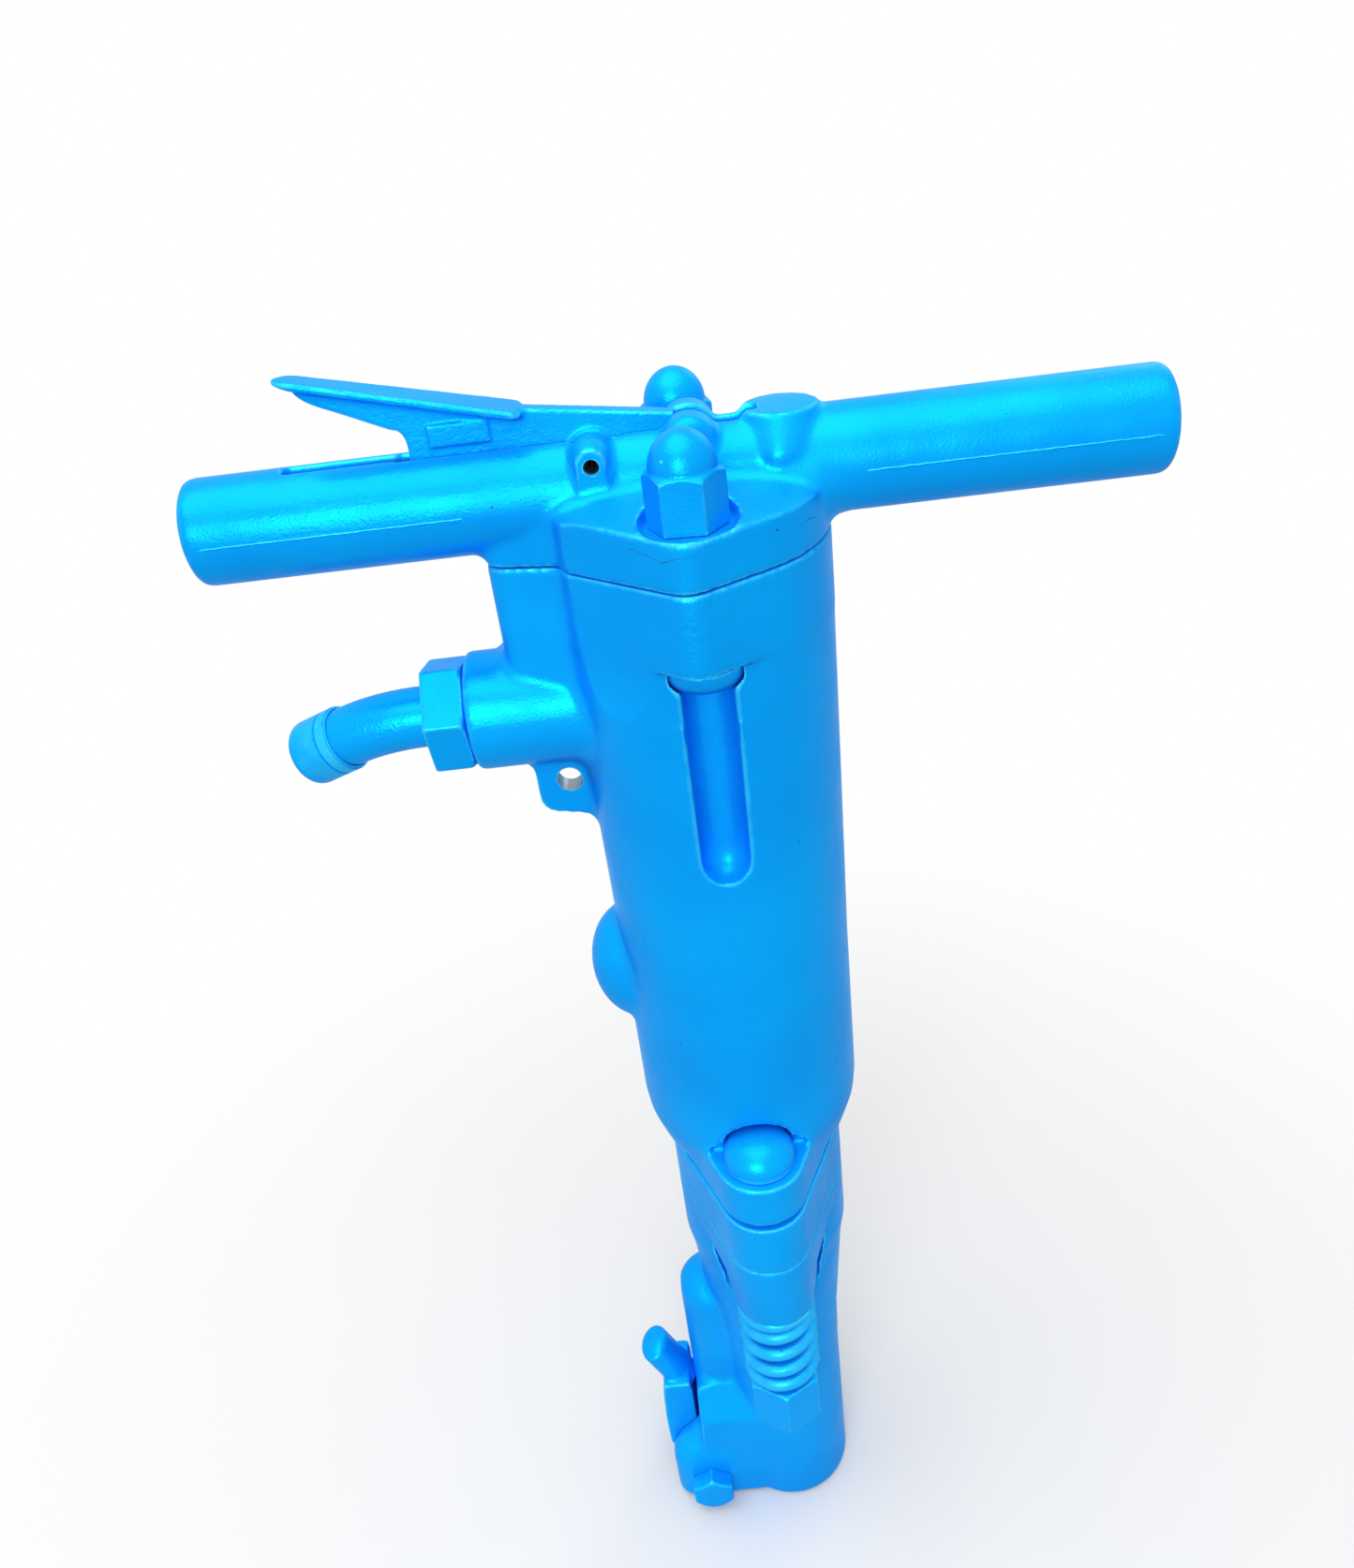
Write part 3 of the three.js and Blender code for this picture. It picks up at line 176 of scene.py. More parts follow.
world = bpy.data.worlds.new("pale_room")
scene.world = world
world.use_nodes = True
sky = world.node_tree
sky.nodes.clear()
direction = sky.nodes.new("ShaderNodeTexCoord")
split = sky.nodes.new("ShaderNodeSeparateXYZ")
height_of_sky = sky.nodes.new("ShaderNodeMapRange")
for label, value in (("From Min", -0.05), ("From Max", 0.2), ("To Min", 0.0), ("To Max", 0.7)):
    height_of_sky.inputs[label].default_value = value
room_light = sky.nodes.new("ShaderNodeBackground")
white_view = sky.nodes.new("ShaderNodeBackground")
choose = sky.nodes.new("ShaderNodeMixShader")
sky_out = sky.nodes.new("ShaderNodeOutputWorld")
sky.links.new(direction.outputs["Generated"], split.inputs[0])
sky.links.new(split.outputs["Z"], height_of_sky.inputs["Value"])
sky.links.new(height_of_sky.outputs["Result"], room_light.inputs["Color"])
sky.links.new(shows_white(sky), choose.inputs["Fac"])
sky.links.new(room_light.outputs[0], choose.inputs[1])
sky.links.new(white_view.outputs[0], choose.inputs[2])
white_view.inputs["Color"].default_value = (1, 1, 1, 1)
sky.links.new(choose.outputs[0], sky_out.inputs["Surface"])
print("world", world.name)

# %% [markdown]
# The ground is one large plane, a hair below the foot of the tool, so that the two faces never
# fight for the same place. It only has to catch the shadow: its finish, further down, lets it fade
# into the white room, so that no horizon shows.

# %% Ground
GROUND_REACH, GROUND_GAP = 8, 0.2 * MM

ground_mesh = bpy.data.meshes.new("ground")
ground_mesh.from_pydata(
    [(x * GROUND_REACH, y * GROUND_REACH, 0) for x, y in ((-1, -1), (1, -1), (1, 1), (-1, 1))],
    [], [(0, 1, 2, 3)],
)
ground = bpy.data.objects.new("ground", ground_mesh)
ground.location.z = cad_low.z - GROUND_GAP
scene.collection.objects.link(ground)
ground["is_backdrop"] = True
print("ground", 2 * GROUND_REACH, "m wide")

# %% [markdown]
# ## Finishes
# Three things repeat in more than one finish: the dimpled skin of a casting under paint, a painted
# highlight on edges with painted shade in hollows, and small pits. Each is a shader node group with
# named sockets, built once, so that a finish only has to say how much of it there is.

# %% Helpers for shader nodes


def group(name, inputs, outputs):
    tree = bpy.data.node_groups.new(name, "ShaderNodeTree")
    for label, value in inputs.items():
        kind = "NodeSocketColor" if isinstance(value, tuple) else "NodeSocketFloat"
        socket = tree.interface.new_socket(name=label, in_out="INPUT", socket_type=kind)
        socket.default_value = value
    for label, kind in outputs.items():
        tree.interface.new_socket(name=label, in_out="OUTPUT", socket_type=kind)
    return tree, tree.nodes.new("NodeGroupInput"), tree.nodes.new("NodeGroupOutput")


def noise(tree, scale, detail=3.0, roughness=0.5, stretch=(1, 1, 1)):
    place = tree.nodes.new("ShaderNodeTexCoord")
    mapping = tree.nodes.new("ShaderNodeMapping")
    mapping.inputs["Scale"].default_value = stretch
    texture = tree.nodes.new("ShaderNodeTexNoise")
    texture.inputs["Scale"].default_value = scale
    texture.inputs["Detail"].default_value = detail
    texture.inputs["Roughness"].default_value = roughness
    tree.links.new(place.outputs["Object"], mapping.inputs["Vector"])
    tree.links.new(mapping.outputs[0], texture.inputs["Vector"])
    return texture.outputs["Fac"]


def ramp(tree, source, low, high, to_low=0.0, to_high=1.0):
    node = tree.nodes.new("ShaderNodeMapRange")
    node.interpolation_type = "SMOOTHSTEP"
    limits = {"From Min": low, "From Max": high, "To Min": to_low, "To Max": to_high}
    for label, value in limits.items():
        node.inputs[label].default_value = value
    tree.links.new(source, node.inputs["Value"])
    return node.outputs["Result"]


def calc(tree, operation, first, second=0.0, third=0.0):
    node = tree.nodes.new("ShaderNodeMath")
    node.operation = operation
    for socket, value in zip(node.inputs, (first, second, third)):
        if isinstance(value, (int, float)):
            socket.default_value = value
        else:
            tree.links.new(value, socket)
    return node.outputs[0]


def tint(tree, amount, first, second):
    node = tree.nodes.new("ShaderNodeMix")
    node.data_type = "RGBA"
    sockets = (node.inputs[0], node.inputs[6], node.inputs[7])
    for socket, value in zip(sockets, (amount, first, second)):
        if isinstance(value, (int, float)):
            socket.default_value = value
        elif isinstance(value, tuple):
            socket.default_value = (*value, 1) if len(value) == 3 else value
        else:
            tree.links.new(value, socket)
    return node.outputs[2]


print("node helpers ready")

# %% [markdown]
# A sand casting keeps the grain of its mould, and sprayed enamel levels it into shallow dimples.
# The grain is strong only in patches, where it breaks up the reflections, and elsewhere a fine
# orange peel is left. The group gives a height for a Bump node: fine dimples, coarse grain where a
# slow noise allows it, and long slow waves.

# %% Node group: skin of a painted casting
skin, skin_in, skin_out = group(
    "casting_skin", {"Peel": 0.25, "Grain": 1.0, "Waves": 0.6}, {"Height": "NodeSocketFloat"}
)
peel = calc(skin, "MULTIPLY", noise(skin, 900, 2), skin_in.outputs["Peel"])
patches = ramp(skin, noise(skin, 17, 2), 0.42, 0.8)
grain = calc(skin, "MULTIPLY", noise(skin, 420, 4, 0.6), patches)
grain = calc(skin, "MULTIPLY", grain, skin_in.outputs["Grain"])
waves = calc(skin, "MULTIPLY", noise(skin, 60, 1), skin_in.outputs["Waves"])
total = calc(skin, "ADD", calc(skin, "ADD", peel, grain), waves)
skin.links.new(total, skin_out.inputs["Height"])
print("group", skin.name, "sockets", [s.name for s in skin.interface.items_tree])

# %% [markdown]
# Sharp edges get a painted highlight, and corners and hollows get painted shade. Cycles can tell the
# two apart by how the surface bends, which it calls pointiness: half on a flat face, more on an edge,
# less in a hollow. Painting the edges by hand would be slower and would not follow a change of
# shape. A little noise keeps the change from looking drawn.

# %% Node group: edges and hollows
bends, bends_in, bends_out = group(
    "edges_and_hollows",
    {"Reach": 0.06},
    {"Edge": "NodeSocketFloat", "Hollow": "NodeSocketFloat"},
)
surface = bends.nodes.new("ShaderNodeNewGeometry")
FLAT, NEARLY_FLAT, WOBBLE = 0.5, 0.02, 0.03
bend = calc(bends, "ADD", surface.outputs["Pointiness"], -FLAT)
wobble = calc(bends, "MULTIPLY", calc(bends, "ADD", noise(bends, 140, 3), -0.5), WOBBLE)
bend = calc(bends, "ADD", bend, wobble)
inward = calc(bends, "MULTIPLY", bend, -1.0)
reach = bends_in.outputs["Reach"]
edge = calc(bends, "DIVIDE", calc(bends, "ADD", bend, -NEARLY_FLAT), reach)
hollow = calc(bends, "DIVIDE", calc(bends, "ADD", inward, -NEARLY_FLAT), reach)
for value, label in ((edge, "Edge"), (hollow, "Hollow")):
    clamp = bends.nodes.new("ShaderNodeClamp")
    bends.links.new(value, clamp.inputs["Value"])
    bends.links.new(clamp.outputs[0], bends_out.inputs[label])
print("group", bends.name)

# %% [markdown]
# Dust that fell into the wet enamel leaves pinholes and dark specks a few tenths of a millimetre
# wide. A Voronoi pattern gives one point to each cell, and only the cells that draw a high random
# number show theirs.

# %% Node group: specks
specks, specks_in, specks_out = group(
    "specks", {"Cells": 110.0, "Width": 0.07, "Share": 0.1}, {"Mask": "NodeSocketFloat"}
)
speck_place = specks.nodes.new("ShaderNodeTexCoord")
cells = specks.nodes.new("ShaderNodeTexVoronoi")
specks.links.new(speck_place.outputs["Object"], cells.inputs["Vector"])
specks.links.new(specks_in.outputs["Cells"], cells.inputs["Scale"])
pick = specks.nodes.new("ShaderNodeSeparateColor")
specks.links.new(cells.outputs["Color"], pick.inputs[0])
near = calc(specks, "LESS_THAN", cells.outputs["Distance"], specks_in.outputs["Width"])
drawn = calc(specks, "LESS_THAN", pick.outputs[0], specks_in.outputs["Share"])
specks.links.new(calc(specks, "MULTIPLY", near, drawn), specks_out.inputs["Mask"])
print("group", specks.name)

# %% [markdown]
# Every finish starts from the plain Principled shader. The helpers below make such a material,
# place a shared group in it with its own values, and lead a height to the shader through a Bump
# node, so that each finish further down reads as a short list of what it is made of.

# %% Helpers: finishes


def use(tree, shared, **values):
    node = tree.nodes.new("ShaderNodeGroup")
    node.node_tree = shared
    for label, value in values.items():
        node.inputs[label].default_value = value
    return node.outputs


def finish(name, roughness, metallic=0.0):
    material = bpy.data.materials.new(name)
    material.use_nodes = True
    shader = material.node_tree.nodes["Principled BSDF"]
    shader.inputs["Roughness"].default_value = roughness
    shader.inputs["Metallic"].default_value = metallic
    return material, material.node_tree, shader


def bumped(tree, shader, height, depth):
    bump = tree.nodes.new("ShaderNodeBump")
    bump.inputs["Distance"].default_value = depth * MM
    tree.links.new(height, bump.inputs["Height"])
    tree.links.new(bump.outputs[0], shader.inputs["Normal"])


print("finish helpers ready")

# %% [markdown]
# The tool was sprayed all over, after assembly, with one thick enamel: nuts, bolts and springs are
# the same sky blue as the castings. The colour drifts a little at random. On top of that the sharp
# edges get a lighter blue as a painted highlight, and the hollows a deeper blue as painted shade.
# A clear coat over the blue would reflect plain white and wash it out. On the real tool the
# reflections are blue as well, so the paint gets a share of metal and a blue specular tint instead.
# Only the rim of the drilled lug has been rubbed bare by a hook, so one round place there turns to
# steel. Below the backhead's rim a few thin wavy lines show where two streams of iron met in the
# mould.

# %% Finish: sky-blue enamel
# The second colour is a painted highlight for sharp edges. The third is a deeper tone for the slow
# random drift, and it is also the painted shade in the hollows.
ENAMEL = (0.003, 0.41, 1.0)
ENAMEL_EDGE_HIGHLIGHT = (0.06, 0.72, 1.0)
ENAMEL_DEEP_AND_SHADE = (0.001, 0.13, 0.66)
SPECK = (0.02, 0.09, 0.2)
RUBBED_STEEL = (0.36, 0.37, 0.38)
SHARE_OF_METAL, GLOSSIEST, DULLEST = 0.42, 0.285, 0.38
LUG_X, LUG_Z, RUBBED_RADIUS, RUBBED_FADE = -65.0, 529.5, 6.1, 0.3
LAP_LEVEL, LAP_WIDTH, LAP_SWAY, LAP_FREE = 646, 0.22, 24, 30

enamel, tree, shader = finish("sky_enamel", 0.24)
shader.inputs["Specular Tint"].default_value = (0.06, 0.62, 1, 1)
shader.inputs["IOR"].default_value = 1.14
shape = use(tree, bends, Reach=0.04)
drift = ramp(tree, noise(tree, 9, 3), 0.3, 0.75, 0.0, 0.3)
colour = tint(tree, drift, ENAMEL, ENAMEL_DEEP_AND_SHADE)
# Painted shade: hollows and corners turn to the deeper blue.
colour = tint(tree, calc(tree, "MULTIPLY", shape["Hollow"], 0.9), colour, ENAMEL_DEEP_AND_SHADE)
# Painted highlight: sharp edges turn to a lighter blue.
colour = tint(tree, calc(tree, "MULTIPLY", shape["Edge"], 0.8), colour, ENAMEL_EDGE_HIGHLIGHT)
dots = use(tree, specks, Cells=95.0, Width=0.05, Share=0.07)
colour = tint(tree, dots["Mask"], colour, SPECK)
place = tree.nodes.new("ShaderNodeTexCoord")
axes = tree.nodes.new("ShaderNodeSeparateXYZ")
tree.links.new(place.outputs["Object"], axes.inputs[0])
lap_middle = -LAP_LEVEL * MM - LAP_SWAY / 2 * MM
sway = calc(tree, "MULTIPLY_ADD", noise(tree, 26, 4, 0.6), LAP_SWAY * MM, lap_middle)
from_lap = calc(tree, "ABSOLUTE", calc(tree, "ADD", axes.outputs["Z"], sway))
on_lap = calc(tree, "LESS_THAN", from_lap, LAP_WIDTH * MM)
on_ears = calc(tree, "GREATER_THAN", calc(tree, "ABSOLUTE", axes.outputs["Y"]), LAP_FREE * MM)
lap = calc(tree, "MULTIPLY", on_lap, on_ears)
lap = calc(tree, "MULTIPLY", lap, ramp(tree, noise(tree, 14, 1), 0.44, 0.52, 0.0, 0.6))
colour = tint(tree, lap, colour, SPECK)
across = calc(tree, "ADD", axes.outputs["X"], -LUG_X * MM)
upward = calc(tree, "ADD", axes.outputs["Z"], -LUG_Z * MM)
from_lug = calc(tree, "SQRT", calc(
    tree, "ADD", calc(tree, "MULTIPLY", across, across), calc(tree, "MULTIPLY", upward, upward)
))
rim_start, rim_end = (RUBBED_RADIUS - RUBBED_FADE) * MM, RUBBED_RADIUS * MM
rubbed = ramp(tree, from_lug, rim_start, rim_end, 1.0, 0.0)
colour = tint(tree, rubbed, colour, RUBBED_STEEL)
tree.links.new(colour, shader.inputs["Base Color"])
metal_share = ramp(tree, from_lug, rim_start, rim_end, 1.0, SHARE_OF_METAL)
tree.links.new(metal_share, shader.inputs["Metallic"])
gloss = ramp(tree, noise(tree, 35, 3), 0.35, 0.7, GLOSSIEST, DULLEST)
tree.links.new(gloss, shader.inputs["Roughness"])
rough = use(tree, skin, Peel=0.22, Grain=1.0, Waves=0.8)
bumped(tree, shader, rough["Height"], 0.6)
print("finish", enamel.name)

# %% [markdown]
# Machined and hardened pieces stay bare inside the tool: bright oiled steel on the piston, the
# anvil and the chuck bushing, darker steel on the thin valve plate, and bronze where a stem or a
# piston slides. The metals differ in colour and shine, but a lathe leaves the same fine rings on
# each, so one function makes all of them.

# %% Finish: bare metals


def bare_metal(name, light, dark, roughness, turning):
    material, nodes_of, metal = finish(name, roughness, metallic=1.0)
    stains = ramp(nodes_of, noise(nodes_of, 45, 4, 0.6), 0.35, 0.7)
    marks = use(nodes_of, specks, Cells=180.0, Width=0.1, Share=0.12)
    tone = tint(nodes_of, stains, light, dark)
    tone = tint(nodes_of, calc(nodes_of, "MULTIPLY", marks["Mask"], 0.6), tone, dark)
    nodes_of.links.new(tone, metal.inputs["Base Color"])
    lathe_marks = noise(nodes_of, 60, 2, 0.5, (1, 1, turning))
    dulled = ramp(nodes_of, lathe_marks, 0.3, 0.7, roughness - 0.08, roughness + 0.1)
    nodes_of.links.new(dulled, metal.inputs["Roughness"])
    bumped(nodes_of, metal, lathe_marks, 0.03)
    return material


steel = bare_metal("oiled_steel", (0.5, 0.51, 0.52), (0.3, 0.3, 0.31), 0.3, 26)
dark_steel = bare_metal("dark_steel", (0.27, 0.28, 0.3), (0.12, 0.12, 0.13), 0.4, 12)
bronze = bare_metal("bearing_bronze", (0.56, 0.36, 0.16), (0.33, 0.2, 0.09), 0.35, 20)
print("finishes", steel.name, dark_steel.name, bronze.name)

# %% [markdown]
# The gasket is pressed fibre, a dull brown felt of short threads, and needs only two fine noises.
# The ground is nearly white to the camera and grey to the light that bounces off it, or it would
# wash out the underside of the tool. Its alpha falls with the distance from the tool.

# %% Finish: fibre and ground
GROUND_FADES_FROM, GROUND_GONE_AT = 0.22, 0.75

fibre, tree, shader = finish("pressed_fibre", 0.8)
fibre_tone = tint(tree, noise(tree, 700, 4, 0.7), (0.1, 0.065, 0.04), (0.2, 0.14, 0.09))
tree.links.new(fibre_tone, shader.inputs["Base Color"])
bumped(tree, shader, noise(tree, 1100, 3), 0.05)

ground_finish, tree, shader = finish("pale_ground", 0.9)
paper = tint(tree, noise(tree, 2.5, 2), (0.72, 0.72, 0.72), (0.76, 0.76, 0.76))
paper = tint(tree, shows_white(tree), (0.38, 0.38, 0.38), paper)
tree.links.new(paper, shader.inputs["Base Color"])
place = tree.nodes.new("ShaderNodeTexCoord")
from_tool = tree.nodes.new("ShaderNodeVectorMath")
from_tool.operation = "LENGTH"
tree.links.new(place.outputs["Object"], from_tool.inputs[0])
fade = ramp(tree, from_tool.outputs["Value"], GROUND_FADES_FROM, GROUND_GONE_AT, 1.0, 0.0)
tree.links.new(fade, shader.inputs["Alpha"])
shader.inputs["Specular IOR Level"].default_value = 0.1
ground.data.materials.append(ground_finish)
print("finishes", fibre.name, ground_finish.name)

# %% [markdown]
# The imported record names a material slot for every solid. Reading it gives each solid that stays in
# view its finish, and the pieces made below take theirs from the same table.

# %% Finishes on the solids
FINISH_OF_SLOT = {
    "paint": enamel, "steel": steel, "dark_steel": dark_steel, "bronze": bronze, "fibre": fibre,
}
for row in frame["record"]["subparts"]:
    solid = frame["nodes"][row["node"]]
    for index in range(len(solid.material_slots)):
        solid.material_slots[index].material = FINISH_OF_SLOT[row["material_slot"]]
print("finishes on", len(frame["nodes"]), "solids")

# %% [markdown]
# ## Shapes
# A casting starts as a few plain bodies that overlap: turned bodies, drawn outlines that are lifted
# straight up, and outlines that change on the way up. These helpers return corners and faces in
# millimetres, so that a shape can be turned and shifted before any mesh is made from it. A band is
# the outline of a belt round several circles, the natural outline of a plate with rounded ears.

# %% Helpers: turned and drawn shapes
SIDES, EARED_SIDES = 96, 120


def loft(sections):
    places, faces = [], []
    count = len(sections[0][0])
    for outline, z, along, across in sections:
        places += [(x * along, y * across, z) for x, y in outline]
    for row in range(len(sections) - 1):
        for i in range(count):
            here, following = row * count + i, row * count + (i + 1) % count
            faces.append((here, following, following + count, here + count))
    faces.append(tuple(reversed(range(count))))
    faces.append(tuple(range((len(sections) - 1) * count, len(sections) * count)))
    return places, faces


def prism(outline, low, high):
    return loft([(outline, low, 1, 1), (outline, high, 1, 1)])


def circle(radius, sides=SIDES):
    return [
        (radius * math.cos(i * math.tau / sides), radius * math.sin(i * math.tau / sides))
        for i in range(sides)
    ]


def revolve(profile, sides=SIDES):
    ring, smallest = circle(1, sides), 0.0005
    rows = [(ring, z, max(radius, smallest), max(radius, smallest)) for radius, z in profile]
    if profile[0] == profile[-1]:
        places, faces = loft(rows)
        return places, faces[:-2]
    return loft(rows)


def cylinder(radius, low, high, sides=SIDES):
    return revolve([(radius, low), (radius, high)], sides)


def band(circles, count=SIDES):
    outline = []
    for i in range(count):
        angle = (i + 0.5) * math.tau / count
        across, upward = math.cos(angle), math.sin(angle)
        x, y, radius = max(circles, key=lambda c: c[0] * across + c[1] * upward + c[2])
        outline.append((x + radius * across, y + radius * upward))
    return outline


def eared(body, reach, ear):
    return band([(0, 0, body), (0, reach, ear), (0, -reach, ear)], EARED_SIDES)


def box(x0, x1, y0, y1, z0, z1):
    return prism([(x0, y0), (x1, y0), (x1, y1), (x0, y1)], z0, z1)


def skin_over(rings):
    sides, last = len(rings[0]), len(rings) - 1
    faces = [
        (r * sides + k, r * sides + (k + 1) % sides,
         (r + 1) * sides + (k + 1) % sides, (r + 1) * sides + k)
        for r in range(last) for k in range(sides)
    ]
    faces += [tuple(range(sides)), tuple(reversed(range(last * sides, (last + 1) * sides)))]
    return [place for ring in rings for place in ring], faces


print("a band round three circles has", len(eared(57, 45.2, 20.5)), "corners")

# %% [markdown]
# The next helpers put a shape in its place: shifted, turned about the upright axis, or laid along
# another axis. Much of the tool comes in pairs, one at the front and one at the rear, so one helper
# returns both. Arcs and domes give rounded ends as rows of a profile, which turn into even faces,
# while a bevel would leave that to chance.

# %% Helpers: places, arcs and domes


def moved(shape, shift=(0, 0, 0), turn=None):
    move = Matrix.Translation(shift) @ (turn or Matrix()).to_4x4()
    return [tuple(move @ Vector(place)) for place in shape[0]], shape[1]


def turn_about(shape, degrees):
    return moved(shape, turn=Matrix.Rotation(math.radians(degrees), 3, "Z"))


def along_x(shape, shift=(0, 0, 0)):
    return moved(([(z, y, -x) for x, y, z in shape[0]], shape[1]), shift)


def along_y(shape, shift=(0, 0, 0)):
    return moved(([(x, -z, y) for x, y, z in shape[0]], shape[1]), shift)


def upright(outline, half):
    return along_y(prism(outline, -half, half))


def at_both_ends(shape, reach):
    return [moved(shape, (0, side * reach, 0)) for side in (-1, 1)]


def arc(centre, radius, start, end, steps=10):
    angles = [math.radians(start + (end - start) * i / steps) for i in range(steps + 1)]
    return [(centre[0] + radius * math.cos(a), centre[1] + radius * math.sin(a)) for a in angles]


def round_foot(radius, low, edge):
    return arc((radius - edge, low + edge), edge, -90, 0, 8)


def round_brow(radius, high, edge):
    return arc((radius - edge, high - edge), edge, 0, 90, 8)


def domed(radius, height, base, degrees):
    return [
        (radius * math.cos(math.radians(a)), base + height * math.sin(math.radians(a)))
        for a in degrees
    ]


print("a rounded foot has", len(round_foot(10, 0, 2)), "rows")

# %% [markdown]
# A boolean cut or a remesh needs a real object. The helpers below make one from shapes, run
# modifiers on it, and keep the result as a plain mesh, like a workpiece that goes from the saw to
# the grinder.

# %% Helpers: workpieces
import bmesh


def make(name, *shapes):
    places, faces = [], []
    for shape_places, shape_faces in shapes:
        start = len(places)
        places += [Vector(place) * MM for place in shape_places]
        faces += [[start + i for i in face] for face in shape_faces]
    mesh = bpy.data.meshes.new(name)
    mesh.from_pydata(places, [], faces)
    tidy = bmesh.new()
    tidy.from_mesh(mesh)
    bmesh.ops.recalc_face_normals(tidy, faces=tidy.faces)
    tidy.to_mesh(mesh)
    tidy.free()
    workpiece = bpy.data.objects.new(name, mesh)
    scene.collection.objects.link(workpiece)
    return workpiece


def bake(workpiece):
    evaluated = workpiece.evaluated_get(bpy.context.evaluated_depsgraph_get())
    mesh = bpy.data.meshes.new_from_object(evaluated)
    workpiece.modifiers.clear()
    spent, workpiece.data = workpiece.data, mesh
    bpy.data.meshes.remove(spent)
    mesh.name = workpiece.name


def modify(workpiece, kind, **settings):
    modifier = workpiece.modifiers.new(kind.lower(), kind)
    for label, value in settings.items():
        setattr(modifier, label, value)


def combine(workpiece, operation, shapes):
    tools = [make("tool", shape) for shape in shapes]
    for tool in tools:
        modify(workpiece, "BOOLEAN", operation=operation, solver="MANIFOLD", object=tool)
    bake(workpiece)
    for tool in tools:
        bpy.data.meshes.remove(tool.data)


def cut(workpiece, *shapes):
    combine(workpiece, "DIFFERENCE", shapes)


CAST_CREASE, MACHINED_CREASE = 32, 40


def crease(workpiece, angle=CAST_CREASE):
    mesh = workpiece.data
    mesh.shade_smooth()
    mesh.set_sharp_from_angle(angle=math.radians(angle))


print("workpiece helpers ready")

# %% [markdown]
# Every inside corner of a casting is rounded, because sand can't hold a sharp one, and its outside
# edges are only a little blunt. To get both, the joined bodies are swollen by the inside radius,
# meshed anew so that the walls that now cross are merged, and shrunk again by a hair more: inside
# corners stay filled, but outside edges have gone soft. The sharp bodies are then joined in once
# more, which brings those edges back. Small bosses and pads get a much smaller radius. A little
# smoothing takes the edge off everything, and machined holes are cut last, and stay crisp.

# %% Helper: a casting
SMALL_FILLET, SHORTFALL = 1.8, 0.35


def close_corners(casting, radius, grain):
    modify(casting, "REMESH", mode="VOXEL", voxel_size=grain * MM)
    modify(casting, "DISPLACE", strength=radius * MM, mid_level=0)
    modify(casting, "REMESH", mode="VOXEL", voxel_size=grain * MM)
    modify(casting, "SMOOTH", factor=0.5, iterations=2)
    modify(casting, "DISPLACE", strength=-(radius + SHORTFALL) * MM, mid_level=0)
    bake(casting)


def join_in(casting, shapes):
    bodies, both = make("bodies", *shapes), bmesh.new()
    both.from_mesh(casting.data)
    both.from_mesh(bodies.data)
    both.to_mesh(casting.data)
    both.free()
    bpy.data.meshes.remove(bodies.data)


def cast(name, shapes, fillet, grain, small=(), moulded=(), machined=(), soften=5):
    casting = make(name, *shapes)
    close_corners(casting, fillet, max(grain, fillet / 4))
    join_in(casting, [*shapes, *small])
    if small:
        close_corners(casting, SMALL_FILLET, grain)
        join_in(casting, [*shapes, *small])
    modify(casting, "REMESH", mode="VOXEL", voxel_size=grain * MM)
    bake(casting)
    if moulded:
        cut(casting, *moulded)
        modify(casting, "REMESH", mode="VOXEL", voxel_size=grain * MM)
    modify(casting, "SMOOTH", factor=0.5, iterations=soften)
    bake(casting)
    if machined:
        cut(casting, *machined)
    crease(casting)
    print(name, len(casting.data.polygons), "faces")
    return casting


def dress(workpiece, node, body, slot):
    workpiece.data.materials.clear()
    workpiece.data.materials.append(FINISH_OF_SLOT[slot])
    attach(workpiece, body)
    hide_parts(node)
    print(workpiece.name, "stands for", node)


print("casting helper ready")

# %% [markdown]
# ## The backhead
# The backhead is one grey-iron casting: a plate with an ear at the front and at the rear, a crown
# that leans in towards the handle, and the round bar itself. On the plain side the bar grows out of
# the plate through a collar that widens below, and on the lever's side it runs straight over the
# air chest. Its ears end in a blunt nose a little towards the lever, and on that side the plate runs
# flat from the nose to the chest. It could be drawn face by face, but then every rounded corner
# would be drawn too. It is built from the bar outwards instead, the way a pattern maker would glue
# up the pattern.

# %% Backhead: the bodies of the pattern
BAR_LEVEL, BAR_RADIUS, BAR_ROUND = 659.2, 21.3, 4
FLANGE_RADIUS, EAR_REACH, RIM, CROWN_HEIGHT = 57, 45.2, 655, 13
NOSE, NOSE_RADIUS = (-2, 54.4), 11
FLAT_FROM_AXIS, FLAT_TURN, FLAT_BEFORE, FLAT_AFTER, FLAT_DEPTH = 54, 39.8, 27, 45, 30
CHEST = [(-73, 7.5, 9), (-73, -7.5, 9), (-45, 14, 9), (-45, -14, 9)]
upper_outline = band([
    (0, 0, FLANGE_RADIUS), (*NOSE, NOSE_RADIUS), (NOSE[0], -NOSE[1], NOSE_RADIUS),
], EARED_SIDES)
chest_outline = band(CHEST)


def bar_body():
    left_end = round_foot(BAR_RADIUS, bar_left, BAR_ROUND)
    right_end = round_brow(BAR_RADIUS, bar_right, BAR_ROUND)
    return along_x(revolve([*left_end, *right_end]), (0, 0, BAR_LEVEL))


def collar_below(wall, swell=6, length=16, steps=12):
    flare = [
        (BAR_RADIUS + swell * (1 - i / steps) ** 2.5, length * i / steps)
        for i in range(steps + 1)
    ]
    places, faces = along_x(revolve([(BAR_RADIUS + swell, -length), *flare]))
    shaped = []
    for x, y, z in places:
        out = math.hypot(y, z)
        share = min(max(0.5 - 1.5 * z / out, 0), 1)
        kept = min(out, BAR_RADIUS + (out - BAR_RADIUS) * share)
        shaped.append((x, y * kept / out, z * kept / out))
    return moved((shaped, faces), (wall, 0, BAR_LEVEL))


